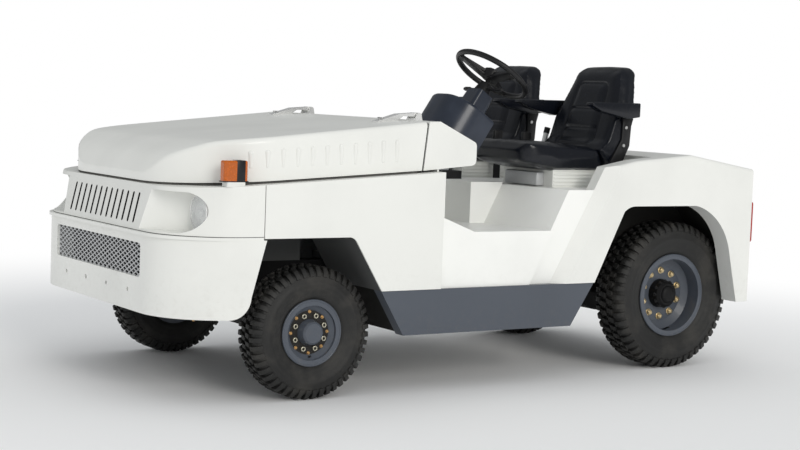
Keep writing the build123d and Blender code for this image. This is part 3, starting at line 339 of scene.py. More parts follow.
@dataclass(frozen=True)
class Rubber:
    """Black tyre rubber, greyed by dust in patches."""

    name: str
    colour: Colour = (0.017, 0.017, 0.0165)
    dusty: Colour = (0.05, 0.047, 0.042)
    roughness: float = 0.5
    patch_scale: float = 9.0
    grain_scale: float = 260.0
    grain_depth: float = 0.0012

    def material(self) -> bpy.types.Material:
        """Build the node material.

        Returns:
            The finished material.
        """
        shade = Shade(self.name)
        patch = shade.noise(self.patch_scale, 5.0, 0.6)
        grain = shade.noise(self.grain_scale, 3.0, 0.7)
        dusted = patch.step(0.42, 0.72) * (grain * 0.6 + 0.4)
        return shade.surface(
            Base_Color=shade.blend(dusted, self.colour, self.dusty),
            Roughness=dusted * 0.22 + self.roughness,
            Specular_IOR_Level=0.35,
            Normal=shade.bump(grain, self.grain_depth, 0.35),
        )


@dataclass(frozen=True)
class Vinyl:
    """Black coated upholstery with a pebbled grain."""

    name: str
    colour: Colour = (0.0042, 0.0055, 0.0095)
    rubbed: Colour = (0.0065, 0.008, 0.0125)
    roughness: float = 0.23
    pebble_scale: float = 520.0
    crease_scale: float = 38.0
    wear_scale: float = 5.0
    grain_depth: float = 0.0009

    def material(self) -> bpy.types.Material:
        """Build the node material.

        Returns:
            The finished material.
        """
        shade = Shade(self.name)
        pebble = shade.cells(self.pebble_scale)
        crease = shade.noise(self.crease_scale, 5.0, 0.6)
        worn = shade.noise(self.wear_scale).step(0.5, 0.78)
        return shade.surface(
            Base_Color=shade.blend(worn, self.colour, self.rubbed),
            Roughness=crease * 0.12 - worn * 0.05 + (self.roughness - 0.04),
            Specular_IOR_Level=0.4,
            Normal=shade.bump(pebble.step(0.0, 0.12) * 0.3 + crease * 0.9, self.grain_depth, 0.12),
        )


@dataclass(frozen=True)
class Plastic:
    """Moulded plastic, glossy or textured."""

    name: str
    colour: Colour
    roughness: float = 0.5
    coat: float = 0.0
    texture: float = 0.3
    shine: float = 0.2
    tone_scale: float = 7.0
    spark_scale: float = 640.0
    spark_depth: float = 0.0006

    def material(self) -> bpy.types.Material:
        """Build the node material.

        Returns:
            The finished material.
        """
        shade = Shade(self.name)
        tone = shade.noise(self.tone_scale, 4.0)
        spark = shade.noise(self.spark_scale, 2.0)
        pale = tuple(min(1.0, channel * 1.35 + 0.004) for channel in self.colour)
        return shade.surface(
            Base_Color=shade.blend(tone.step(0.4, 0.8), self.colour, pale),
            Roughness=tone * 0.12 + (self.roughness - 0.06),
            Specular_IOR_Level=self.shine,
            Coat_Weight=self.coat,
            Coat_Roughness=0.06,
            Normal=shade.bump(spark, self.spark_depth, self.texture),
        )


@dataclass(frozen=True)
class Metal:
    """Bare or plated metal with stains."""

    name: str
    colour: Colour
    roughness: float = 0.25
    metallic: float = 1.0
    stain: Colour = (0.1, 0.07, 0.045)
    stained: float = 0.25
    cast: float = 0.1
    blot_scale: float = 46.0
    grit_scale: float = 300.0
    grit_depth: float = 0.0008

    def material(self) -> bpy.types.Material:
        """Build the node material.

        Returns:
            The finished material.
        """
        shade = Shade(self.name)
        blot = shade.noise(self.blot_scale, 5.0, 0.62).step(0.5, 0.82) * self.stained
        grit = shade.noise(self.grit_scale, 3.0, 0.7)
        return shade.surface(
            Base_Color=shade.blend(blot, self.colour, self.stain),
            Roughness=blot * 0.35 + grit * 0.08 + self.roughness,
            Metallic=self.metallic - blot * 0.5,
            Normal=shade.bump(grit, self.grit_depth, self.cast),
        )


@dataclass(frozen=True)
class Lens:
    """Moulded lamp lens, clear or coloured, with optic ribs and a faint painted glow in its colour."""

    name: str
    colour: Colour
    ribs: float = 90.0
    # Painted glow: emission in the lens colour, though the scene lights no lamp behind it; the dial needle
    # takes the red lens and glows too.
    body: float = 1.0
    glow: float = 0.0
    facet: float = 0.2
    rib_depth: float = 0.0015

    def material(self) -> bpy.types.Material:
        """Build the node material.

        Returns:
            The finished material.
        """
        shade = Shade(self.name)
        optic = shade.cells(self.ribs, "F1")
        dim = tuple(channel * (1.0 - self.facet) for channel in self.colour)
        return shade.surface(
            Base_Color=shade.blend(optic.step(0.15, 0.6), self.colour, dim),
            Roughness=optic * 0.06 + 0.02,
            Alpha=self.body,
            IOR=1.49,
            Specular_IOR_Level=0.5,
            Emission_Color=self.colour,
            Emission_Strength=self.glow,
            Normal=shade.bump(optic, self.rib_depth, 0.25),
        )


WHITE_ENAMEL: Colour = (0.835, 0.84, 0.805)
FINISHES: dict[str, Paint | Rubber | Vinyl | Plastic | Metal | Lens] = {
    "white_paint": Paint("white_enamel", WHITE_ENAMEL, roughness=0.36, coat=0.12, dust=0.22),
    "slate_paint": Paint(
        "slate_enamel",
        (0.078, 0.09, 0.112),
        roughness=0.36,
        coat=0.15,
        dust=0.3,
        dust_colour=(0.15, 0.14, 0.125),
        dust_top=0.5,
    ),
    "black_paint": Paint(
        "chassis_black",
        (0.008, 0.008, 0.0085),
        roughness=0.5,
        coat=0.0,
        dust=0.15,
        dust_colour=(0.03, 0.028, 0.024),
        dust_top=0.6,
        shine=0.2,
    ),
    "engine_iron": Metal(
        "engine_iron", (0.11, 0.115, 0.12), roughness=0.5, metallic=0.6, stained=0.5, cast=0.4
    ),
    "radiator_alloy": Metal(
        "radiator_core", (0.03, 0.03, 0.032), roughness=0.6, metallic=0.4, stained=0.3, cast=0.5
    ),
    "bright_metal": Metal(
        "hinge_chrome", (0.84, 0.84, 0.83), roughness=0.22, metallic=0.55, stained=0.0, cast=0.02
    ),
    "clear_lens": Lens("lamp_glass", (0.85, 0.87, 0.87), ribs=60.0, body=0.3, facet=0.12),
    "red_lens": Lens("tail_red", (0.42, 0.012, 0.01), ribs=120.0, glow=0.02),
    "amber_lens": Lens("marker_amber", (0.56, 0.125, 0.012), ribs=110.0, glow=0.03),
    "mesh_steel": Metal("mesh_zinc", (0.56, 0.57, 0.58), roughness=0.42, metallic=0.3, stained=0.12),
    "black_vinyl": Vinyl("seat_vinyl"),
    "dash_plastic": Plastic(
        "dash_slate", (0.017, 0.023, 0.037), roughness=0.3, coat=0.1, texture=0.08, shine=0.5
    ),
    "black_plastic": Plastic("grip_black", (0.008, 0.008, 0.009), roughness=0.4, shine=0.4),
    "tyre_rubber": Rubber("tyre_black"),
}
EXTRA_FINISHES: dict[str, Paint | Metal | Plastic] = {
    "nut_zinc": Metal("nut_zinc", (0.6, 0.57, 0.46), roughness=0.3, metallic=0.8, stained=0.3),
    "nut_gold": Metal("nut_yellow_zinc", (0.78, 0.62, 0.36), roughness=0.24, metallic=0.9),
    "bolt_brass": Metal("bolt_brass", (0.62, 0.38, 0.16), roughness=0.34, metallic=0.8, stained=0.45),
    # Near-black for the ring on a front wheel's disc: painted shade between hub and rim, with grime.
    "greasy_black": Paint(
        "greasy_disc",
        (0.016, 0.0145, 0.013),
        roughness=0.5,
        coat=0.0,
        dust=0.5,
        dust_colour=(0.045, 0.038, 0.03),
        dust_top=0.9,
        shine=0.3,
    ),
    # Grey lighter than the arches' black: painted light on the front wheelhouses, for light that does not
    # reach into the front arch.
    "arch_grey": Paint(
        "arch_grey",
        (0.11, 0.113, 0.112),
        roughness=0.5,
        coat=0.0,
        dust=0.2,
        dust_colour=(0.06, 0.055, 0.05),
        dust_top=0.9,
        shine=0.3,
    ),
    "arch_black": Paint(
        "arch_black",
        (0.022, 0.0215, 0.02),
        roughness=0.6,
        coat=0.0,
        dust=0.3,
        dust_colour=(0.04, 0.036, 0.03),
        dust_top=0.9,
        shine=0.1,
    ),
    # The grille panel's white, with a dark line painted low down as the shade in its seam with the bumper.
    "panel_white": Paint(
        "panel_enamel", WHITE_ENAMEL, roughness=0.36, coat=0.12, dust=0.22, sealed_below=0.7268
    ),
    # A whiter copy of the white enamel: painted light on the seat platform and cab floor, for fill light the
    # footwell lacks.
    "cab_white": Paint("cab_enamel", (0.93, 0.935, 0.905), roughness=0.4, coat=0.1, dust=0.15),
    "bolt_steel": Metal("bolt_steel", (0.62, 0.62, 0.61), stained=0.2),
    # Near-white and mostly diffuse: painted reflection, standing in for the bright mirror of the headlamp
    # bowls; the bulbs take it too.
    "reflector": Metal(
        "lamp_reflector", (0.95, 0.95, 0.94), roughness=0.15, metallic=0.35, stained=0.0, cast=0.02
    ),
    "seal_grey": Plastic("seal_grey", (0.1, 0.097, 0.09), roughness=0.7),
    "dial_face": Plastic("dial_face", (0.02, 0.02, 0.022), texture=0.05),
    "belt_web": Plastic("belt_web", (0.016, 0.016, 0.017), roughness=0.8, texture=0.9),
}
NODE_FINISHES = {
    # The front wheelhouses take the lighter grey as painted light.
    "front_wheelhouses": "arch_grey",
    "rear_wheelhouses": "arch_black",
    "grille_panel": "panel_white",
    # The headlamp bowls take the near-white finish as painted reflection.
    "headlamp_bowls": "reflector",
    # Seat platform and cab floor take the whiter enamel as painted light.
    "seat_platform": "cab_white",
    "cab_floor": "cab_white",
}


@dataclass
class Workshop:
    """Makes meshes, turns them into pieces and puts each on its body."""

    materials: dict[str, bpy.types.Material] = field(default_factory=dict)
    repeat_tree: bpy.types.GeometryNodeTree | None = None

    def finish(self, slot: str) -> bpy.types.Material:
        """The material of a finish, made once.

        Args:
            slot: a key of the two tables of finishes.

        Returns:
            The material.
        """
        if slot not in self.materials:
            finish = FINISHES.get(slot) or EXTRA_FINISHES[slot]
            self.materials[slot] = finish.material()
        return self.materials[slot]

    def piece(
        self,
        name: str,
        bm: bmesh.types.BMesh,
        slot: str,
        body: str = "chassis",
        smooth: float | None = SMOOTH_EDGE,
    ) -> bpy.types.Object:
        """Turn a bmesh into a piece that rides on a body.

        Args:
            name: the piece's name.
            bm: the shape, in the row frame; it is freed.
            slot: the finish.
            body: the body that carries it.
            smooth: angle in degrees under which edges shade smooth, or None for flat faces.

        Returns:
            The new object.
        """
        bmesh.ops.remove_doubles(bm, verts=bm.verts, dist=WELD)
        return self.mount(name, as_mesh(bm), slot, body, smooth)

    def mount(
        self,
        name: str,
        mesh: bpy.types.Mesh,
        slot: str,
        body: str = "chassis",
        smooth: float | None = SMOOTH_EDGE,
    ) -> bpy.types.Object:
        """Dress a finished mesh and put it on its body.

        Args:
            name: the piece's name.
            mesh: the shape, in the row frame.
            slot: the finish.
            body: the body that carries it.
            smooth: angle in degrees under which edges shade smooth, or None for flat faces.

        Returns:
            The new object.
        """
        mesh.name = name
        mesh.materials.clear()
        mesh.materials.append(self.finish(slot))
        if smooth is not None:
            mesh.shade_smooth()
            mesh.set_sharp_from_angle(angle=math.radians(smooth))
        made = self.scratch(name, mesh)
        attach(made, body)
        LOG.info("%s rides on %s with %d faces", name, body, len(mesh.polygons))
        return made

    def slab(self, name: str, low: Point, high: Point, slot: str, edge: float, segments: int = 2) -> None:
        """Put a box with rounded edges on the chassis.

        Args:
            name: the piece's name.
            low: its lowest corner.
            high: its highest corner.
            slot: the finish.
            edge: width of the rounding.
            segments: steps across the rounding.
        """
        self.mount(name, self.bevelled(block(low, high), edge, segments), slot)

    def bar(
        self,
        name: str,
        points: Sequence[Sequence[float]],
        radius: float,
        slot: str,
        body: str = "chassis",
        closed: bool = False,
        sides: int = 3,
    ) -> None:
        """Put a round bar along a smooth line on a body.

        Args:
            name: the piece's name.
            points: control points of the line.
            radius: the bar's radius.
            slot: the finish.
            body: the body that carries it.
            closed: whether the line joins its own start.
            sides: bevel resolution.
        """
        self.mount(name, self.tube(points, radius, closed, sides), slot, body, SMOOTH_BAR)

    def solidified(
        self, source: bpy.types.Object, modifiers: Iterable[tuple[str, dict]] = ()
    ) -> bpy.types.Mesh:
        """Run modifiers on a scratch object and give back its plain mesh.

        Args:
            source: scratch object, removed afterwards.
            modifiers: types with their settings.

        Returns:
            The evaluated mesh.
        """
        for kind, settings in modifiers:
            added = source.modifiers.new(kind.lower(), kind)
            for key, value in settings.items():
                setattr(added, key, value)
        graph = bpy.context.evaluated_depsgraph_get()
        mesh = bpy.data.meshes.new_from_object(source.evaluated_get(graph))
        source.modifiers.clear()
        bpy.data.objects.remove(source)
        return mesh

    def scratch(self, name: str, data: bpy.types.ID) -> bpy.types.Object:
        """Link a new object to the scene.

        Args:
            name: the object's name.
            data: its mesh or curve.

        Returns:
            The object.
        """
        made = bpy.data.objects.new(name, data)
        bpy.context.scene.collection.objects.link(made)
        return made

    def bevelled(self, bm: bmesh.types.BMesh, width: float, segments: int = 2) -> bpy.types.Mesh:
        """Round the sharp edges of a shape.

        Args:
            bm: the shape; it is freed.
            width: the bevel's width in metres.
            segments: steps across the bevel.

        Returns:
            The rounded mesh.
        """
        settings = {
            "width": width,
            "segments": segments,
            "limit_method": "ANGLE",
            "angle_limit": math.radians(SMOOTH_EDGE),
        }
        return self.solidified(self.scratch("raw", as_mesh(bm)), [("BEVEL", settings)])

    def tube(
        self, points: Sequence[Sequence[float]], radius: float, closed: bool = False, sides: int = 3
    ) -> bpy.types.Mesh:
        """Round bar along a smooth line.

        Args:
            points: control points of the line.
            radius: the bar's radius.
            closed: whether the line joins its own start.
            sides: bevel resolution.

        Returns:
            The bar's mesh.
        """
        curve = bpy.data.curves.new("bar", "CURVE")
        curve.dimensions = "3D"
        curve.bevel_depth = radius
        curve.bevel_resolution = sides
        curve.use_fill_caps = not closed
        curve.resolution_u = 8
        spline = curve.splines.new("NURBS")
        spline.points.add(len(points) - 1)
        for control, point in zip(spline.points, points):
            control.co = (*point, 1.0)
        spline.use_cyclic_u = closed
        spline.order_u = 3
        spline.use_endpoint_u = not closed
        return self.solidified(self.scratch("bar", curve))

    def repeat(
        self,
        name: str,
        unit: bpy.types.Mesh,
        count: int,
        start: Point,
        slot: str,
        body: str = "chassis",
        step: Point = (0.0, 0.0, 0.0),
        turn: Point = (0.0, 0.0, 0.0),
        smooth: float | None = SMOOTH_EDGE,
    ) -> bpy.types.Object:
        """Repeat a unit along a line or round an axis with Geometry Nodes.

        Args:
            name: the piece's name.
            unit: the mesh to repeat, drawn about its own origin.
            count: how many.
            start: the first one's origin.
            slot: the finish.
            body: the body that carries the piece.
            step: shift from one to the next.
            turn: turn from one to the next, as Euler angles.
            smooth: angle in degrees under which edges shade smooth, or None for flat faces.

        Returns:
            One plain mesh object that holds them all.
        """
        if self.repeat_tree is None:
            self.repeat_tree = repeat_nodes()
        source = self.scratch(name + "_unit", unit)
        modifier = source.modifiers.new("repeat", "NODES")
        modifier.node_group = self.repeat_tree
        inputs = {"Count": count, "Start": start, "Step": step, "Turn": turn, "Finish": self.finish(slot)}
        for item in self.repeat_tree.interface.items_tree:
            if item.in_out == "INPUT" and item.name in inputs:
                modifier[item.identifier] = inputs[item.name]
        source.update_tag()
        bpy.context.view_layer.update()
        return self.mount(name, self.solidified(source), slot, body, smooth)


def repeat_nodes() -> bpy.types.GeometryNodeTree:
    """Node tree that repeats the object's own mesh with a step and a turn.

    Returns:
        The tree, with inputs Count, Start, Step, Turn and Finish.
    """
    tree = bpy.data.node_groups.new("repeat_unit", "GeometryNodeTree")
    inputs = {"Geometry": "Geometry", "Count": "Int", "Start": "Vector", "Step": "Vector", "Turn": "Vector"}
    inputs["Finish"] = "Material"
    for word, kind in inputs.items():
        tree.interface.new_socket(word, in_out="INPUT", socket_type="NodeSocket" + kind)
    tree.interface.new_socket("Geometry", in_out="OUTPUT", socket_type="NodeSocketGeometry")
    graph = Graph(tree)
    given = graph.node("NodeGroupInput").outputs
    ends = {"Count": given["Count"], "Start Location": given["Start"], "Offset": given["Step"]}
    row = graph.node("GeometryNodeMeshLine", {"mode": "OFFSET"}, ends)
    index = graph.node("GeometryNodeInputIndex").outputs[0]
    spin = graph.node("ShaderNodeVectorMath", {"operation": "SCALE"}, {0: given["Turn"], "Scale": index})
    copies = {"Points": row.outputs[0], "Instance": given["Geometry"], "Rotation": spin.outputs[0]}
    placed = graph.node("GeometryNodeInstanceOnPoints", None, copies)
    real = graph.node("GeometryNodeRealizeInstances", None, {0: placed.outputs[0]})
    coat = {"Geometry": real.outputs[0], "Material": given["Finish"]}
    coated = graph.node("GeometryNodeSetMaterial", None, coat)
    graph.node("NodeGroupOutput", None, {0: coated.outputs[0]})
    return tree


def lathe(profile: Outline, centre: Sequence[float], segments: int = 48) -> bmesh.types.BMesh:
    """Turn a closed or axis-ended profile round the Y direction.

    Args:
        profile: (offset along Y, radius) pairs; a closed ring profile repeats its first pair.
        centre: the point on the axis that offsets are measured from.
        segments: steps round the axis.

    Returns:
        The turned shape.
    """
    bm = bmesh.new()
    x, y, z = centre
    rings: list[list[bmesh.types.BMVert]] = []
    for offset, radius in profile:
        ring = []
        for index in range(segments):
            angle = 2 * math.pi * index / segments
            aside, above = radius * math.sin(angle), radius * math.cos(angle)
            ring.append(bm.verts.new((x + aside, y + offset, z + above)))
        rings.append(ring)
    for inner, outer in zip(rings, rings[1:]):
        for index in range(segments):
            after = (index + 1) % segments
            bm.faces.new((inner[index], inner[after], outer[after], outer[index]))
    bmesh.ops.remove_doubles(bm, verts=bm.verts, dist=WELD)
    return bm


def prism(outline: Outline, low: float, high: float, place: Callable) -> bmesh.types.BMesh:
    """Straight prism over a flat outline.

    Args:
        outline: the outline's points in two dimensions.
        low: the near end's third coordinate.
        high: the far end's third coordinate.
        place: turns (a, b, c) into a point, c being the third coordinate.

    Returns:
        The closed prism.
    """
    bm = bmesh.new()
    near = [bm.verts.new(place(a, b, low)) for a, b in outline]
    far = [bm.verts.new(place(a, b, high)) for a, b in outline]
    bm.faces.new(near)
    bm.faces.new(list(reversed(far)))
    count = len(outline)
    for index in range(count):
        after = (index + 1) % count
        bm.faces.new((near[index], far[index], far[after], near[after]))
    bmesh.ops.recalc_face_normals(bm, faces=bm.faces)
    return bm


def sleeve(outer: Outline, wall: float, low: float, high: float, place: Callable) -> bmesh.types.BMesh:
    """Thin-walled tube along an outline round the origin.

    Args:
        outer: the outside outline.
        wall: the wall's thickness, taken towards the inside.
        low: the near end's third coordinate.
        high: the far end's third coordinate.
        place: turns (a, b, c) into a point.

    Returns:
        The closed sleeve.
    """
    reach = max(abs(a) for a, _ in outer)
    tall = max(abs(b) for _, b in outer)
    inner = [(a * (1 - wall / reach), b * (1 - wall / tall)) for a, b in outer]
    bm = bmesh.new()
    ends = ((outer, low), (outer, high), (inner, high), (inner, low))
    loops = [[bm.verts.new(place(a, b, c)) for a, b in ring] for ring, c in ends]
    count = len(outer)
    for first, second in zip(loops, loops[1:] + loops[:1]):
        for index in range(count):
            after = (index + 1) % count
            bm.faces.new((first[index], first[after], second[after], second[index]))
    bmesh.ops.recalc_face_normals(bm, faces=bm.faces)
    return bm


def ngon(sides: int, radius: float) -> list[tuple[float, float]]:
    """Corners of a regular polygon."""
    turns = [2 * math.pi * index / sides for index in range(sides)]
    return [(radius * math.cos(turn), radius * math.sin(turn)) for turn in turns]


def as_mesh(bm: bmesh.types.BMesh) -> bpy.types.Mesh:
    """Plain mesh from a shape.

    Args:
        bm: the shape; it is freed.

    Returns:
        The mesh, with its faces pointing outwards.
    """
    bmesh.ops.recalc_face_normals(bm, faces=bm.faces)
    mesh = bpy.data.meshes.new("unit")
    bm.to_mesh(mesh)
    bm.free()
    return mesh


def merged(*shapes: bmesh.types.BMesh) -> bmesh.types.BMesh:
    """Join shapes into one.

    Args:
        shapes: what is joined; each is freed.

    Returns:
        The joined shape.
    """
    whole = bmesh.new()
    for shape in shapes:
        mesh = bpy.data.meshes.new("part")
        shape.to_mesh(mesh)
        shape.free()
        whole.from_mesh(mesh)
        bpy.data.meshes.remove(mesh)
    return whole


def block(low: Point, high: Point) -> bmesh.types.BMesh:
    """Box between two corners."""
    outline = [(low[0], low[1]), (high[0], low[1]), (high[0], high[1]), (low[0], high[1])]
    return prism(outline, low[2], high[2], lambda a, b, c: (a, b, c))


def clamp(amount: float) -> float:
    """Limit a value to between 0 and 1."""
    return max(0.0, min(1.0, amount))


def rounded_box(across: float, along: float, half_across: float, half_along: float, corner: float) -> float:
    """Signed distance to a rounded rectangle round the origin.

    Args:
        across: the point's first coordinate.
        along: the point's second coordinate.
        half_across: half the rectangle's width.
        half_along: half the rectangle's length.
        corner: radius of its corners.

    Returns:
        The distance, negative inside.
    """
    far_across = abs(across) - half_across + corner
    far_along = abs(along) - half_along + corner
    outside = math.hypot(max(far_across, 0.0), max(far_along, 0.0))
    return outside + min(max(far_across, far_along), 0.0) - corner


@dataclass
class PaintShop:
    """Gives every CAD node the finish of its record slot, or its own."""

    shop: Workshop
    frame: dict

    def build(self) -> None:
        """Assign the materials."""
        for part in self.frame["record"]["subparts"]:
            node = self.frame["nodes"][part["node"]]
            for slot in node.material_slots:
                slot.material = self.shop.finish(NODE_FINISHES.get(part["node"], part["material_slot"]))
        LOG.info("painted %d nodes", len(self.frame["nodes"]))


@dataclass(frozen=True)
class NutRing:
    """A ring of nuts or bolts round a wheel's axle.

    The face is measured outwards from the wheel's middle, the size is a nut's outer radius, and the phase
    turns the first nut by a share of the pitch.
    """

    name: str
    slot: str
    count: int
    ring: float
    face: float
    size: float
    kind: NutKind
    phase: float = 0.0


@dataclass(frozen=True)
class WheelSizes:
    """What differs between a front and a rear wheel."""

    bead_radius: float
    bead_half: float
    lugs: int
    cap_radius: float
    cap_inset: float
    cap_slot: str
    nuts: tuple[NutRing, ...]


FRONT_DISC_FACE = 0.042
WHEEL_SIZES = {
    Axle.FRONT: WheelSizes(
        bead_radius=0.127,
        bead_half=0.060,
        lugs=48,
        cap_radius=0.040,
        cap_inset=0.0155,
        cap_slot="slate_paint",
        nuts=(
            NutRing("wheel_nuts", "nut_zinc", 8, 0.0775, FRONT_DISC_FACE, 0.0125, NutKind.OPEN, 0.5),
            NutRing("rim_bolts", "bolt_brass", 8, 0.0915, FRONT_DISC_FACE, 0.0062, NutKind.PLAIN),
        ),
    ),
    Axle.REAR: WheelSizes(
        bead_radius=0.1905,
        bead_half=0.068,
        lugs=50,
        cap_radius=0.046,
        cap_inset=0.0,
        cap_slot="black_paint",
        nuts=(
            NutRing("wheel_nuts", "nut_gold", 10, 0.119, -0.014, 0.0145, NutKind.DOMED),
            NutRing("hub_bolts", "black_plastic", 12, 0.064, 0.024, 0.009, NutKind.PLAIN),
        ),
    ),
}


@dataclass
class Wheel:
    """One tyre with its tread, and the nuts, bolts and trim on its rim and hub.

    Insets are measured in from the tyre's side, drops down from its tread. The lug's outline is (inset, drop)
    pairs, the cap's (height over the hub, share of its radius) pairs, the valve's line (inset, rise) pairs.
    """

    shop: Workshop
    axle: Axle
    side: Side
    groove: float = 0.015
    bead_step: float = 0.002
    bead_rise: float = 0.02
    bulge_inset: float = 0.006
    shoulder_inset: float = 0.012
    shoulder_drop: float = 0.03
    crown_inset: float = 0.03
    wall_steps: int = 14
    moulded_rings: tuple[int, ...] = (2, 8, 9)
    ring_rise: float = 0.0035
    lug_root: float = 0.006
    lug_share: float = 0.56
    lug_edge: float = 0.0016
    lug_outline: Outline = (
        (0.050, 0.0), (0.036, 0.0), (0.020, 0.005), (0.0065, 0.026), (0.0022, 0.043), (0.016, 0.05)
    )
    lug_inner_foot: float = 0.052
    tile_slant: float = 0.3
    tile_gap: float = 0.003
    tile_inset: float = 0.058
    tile_drop: float = 0.0006
    lip_radius: float = 0.0055
    lip_inset: float = 0.003
    lip_drop: float = 0.0035
    cap_outline: Outline = (
        (-0.004, 0.0), (-0.004, 1.0), (0.004, 0.96), (0.010, 0.8), (0.0135, 0.5), (0.0145, 0.0)
    )
    valve_radius: float = 0.0042
    valve_seat: float = 0.006
    valve_line: Outline = ((0.05, 0.0), (0.03, 0.012), (0.006, 0.018))
    greased: tuple[float, float] = (0.0585, 0.0975)
    grease_film: float = 0.0006
    centre: Vector = field(init=False)
    radius: float = field(init=False)
    half: float = field(init=False)

    def __post_init__(self) -> None:
        """Take the tyre's place and size from the frame."""
        low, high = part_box("tyre_" + self.word)
        self.centre = (low + high) / 2
        self.radius = (high.z - low.z) / 2
        self.half = (high.y - low.y) / 2

    @property
    def word(self) -> str:
        """The wheel's name as the nodes spell it."""
        return f"{self.axle.value}_{self.side.word}"

    @property
    def body(self) -> str:
        """The body that turns with the wheel."""
        return "wheel_" + self.word

    @property
    def sizes(self) -> WheelSizes:
        """The sizes of this axle's wheels."""
        return WHEEL_SIZES[self.axle]

    def build(self) -> None:
        """Make all the pieces of this wheel."""
        self.build_carcass()
        self.build_tread()
        self.build_fasteners()
        self.build_rim_trim()

    def build_carcass(self) -> None:
        """Tyre body under the tread, with moulded rings on its sidewalls."""
        bead_radius, bead_half = self.sizes.bead_radius, self.sizes.bead_half
        foot, head = bead_radius + self.bead_rise, self.radius - self.shoulder_drop
        toe, shoulder = bead_half + self.bead_step, self.half - self.shoulder_inset
        belly = self.half - self.bulge_inset - (bead_half + shoulder) / 2
        wall: list[tuple[float, float]] = []
        for index in range(self.wall_steps + 1):
            share = index / self.wall_steps
            width = toe + (shoulder - toe) * share + belly * math.sin(math.pi * share)
            ring = self.ring_rise if index in self.moulded_rings else 0.0
            wall.append((width + ring, foot + (head - foot) * share))
        crown = (self.half - self.crown_inset, self.radius - self.groove)
        side = [(bead_half, bead_radius), *wall, crown]
        section = [*side, *[(-y, r) for y, r in reversed(side)], side[0]]
        shape = lathe(section, self.centre, 96)
        made = self.shop.piece("carcass_" + self.word, shape, "tyre_rubber", self.body, SMOOTH_ROUND)
        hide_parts("tyre_" + self.word)

    def build_tread(self) -> None:
        """Shoulder lugs on both edges and two rows of slanted blocks between them."""
        top, root = self.radius, self.radius - self.groove - self.lug_root
        pitch = 2 * math.pi / self.sizes.lugs
        reach = self.radius * pitch * self.lug_share / 2
        lug = [(self.half - self.lug_inner_foot, root)]
        lug += [(self.half - inset, top - drop) for inset, drop in self.lug_outline]
        lean = 2 * reach * self.tile_slant
        edge = self.half - self.tile_inset
        tile = [(-reach, self.tile_gap), (reach, self.tile_gap), (reach + lean, edge), (lean - reach, edge)]
        for sign in (1, -1):
            shoulder = prism(lug, -reach, reach, lambda a, b, c: (c, sign * a, b))
            centre = prism(tile, root, top - self.tile_drop, lambda a, b, c: (sign * a, sign * b, c))
            stagger = pitch / 2 if sign > 0 else 0.0
            for shape, turn in ((shoulder, stagger), (centre, stagger + pitch / 2)):
                bmesh.ops.rotate(shape, verts=shape.verts, matrix=Matrix.Rotation(turn, 3, "Y"))
            unit = self.shop.bevelled(merged(shoulder, centre), self.lug_edge, 1)
            name = f"tread_{self.word}_{'outer' if sign == self.side.value else 'inner'}"
            self.ring_of(name, unit, self.sizes.lugs, "tyre_rubber", 30.0)

    def ring_of(
        self, name: str, unit: bpy.types.Mesh, count: int, slot: str, smooth: float = SMOOTH_EDGE
    ) -> None:
        """Repeat a unit round the axle.

        Args:
            name: the piece's name.
            unit: the mesh to repeat, drawn about the wheel's middle.
            count: how many.
            slot: the finish.
            smooth: angle in degrees under which edges shade smooth.
        """
        turn = (0.0, 2 * math.pi / count, 0.0)
        self.shop.repeat(name, unit, count, tuple(self.centre), slot, self.body, turn=turn, smooth=smooth)

    def build_nuts(self, nuts: NutRing) -> None:
        """Make one ring of nuts, with heights and widths as shares of a nut's radius.

        Args:
            nuts: what they are and where they sit.
        """
        size = nuts.size

        def at(a: float, b: float, c: float) -> Point:
            """Place on the ring with c outwards along the axle."""
            return (a, self.side.value * (nuts.face + c), nuts.ring + b)

        if nuts.kind is NutKind.OPEN:
            whole = sleeve(ngon(6, size), size * 0.42, 0.0, size * 0.8, at)
        else:
            nut = prism(ngon(6, size), 0.0, size, at)
            washer = prism(ngon(18, size * 1.25), -0.001, size * 0.22, at)
            crown = prism(ngon(10, size * 0.5), size * 0.9, size * 1.45, at)
            whole = merged(nut, washer, crown)
        if nuts.kind is NutKind.DOMED:
            whole = merged(whole, prism(ngon(12, size * 0.78), size * 0.8, size * 1.25, at))
        first = nuts.phase * 2 * math.pi / nuts.count
        bmesh.ops.rotate(whole, verts=whole.verts, matrix=Matrix.Rotation(first, 3, "Y"))
        unit = self.shop.bevelled(whole, size * 0.12)
        self.ring_of(f"{nuts.name}_{self.word}", unit, nuts.count, nuts.slot)

    def build_fasteners(self) -> None:
        """Wheel nuts and small bolts, and on a front wheel a dark ring under them that paints the shade
        between hub and rim, with grime.
        """
        for nuts in self.sizes.nuts:
            self.build_nuts(nuts)
        if self.axle is Axle.FRONT:
            # This ring paints the shade that falls on the disc between hub and rim, with some grime.
            inner, outer = self.greased
            near, far = FRONT_DISC_FACE - self.grease_film, FRONT_DISC_FACE + self.grease_film
            ring = [(near, inner), (far, inner), (far, outer), (near, outer), (near, inner)]
            shape = lathe([(self.side.value * y, r) for y, r in ring], self.centre, 64)
            self.shop.piece("disc_face_" + self.word, shape, "greasy_black", self.body)

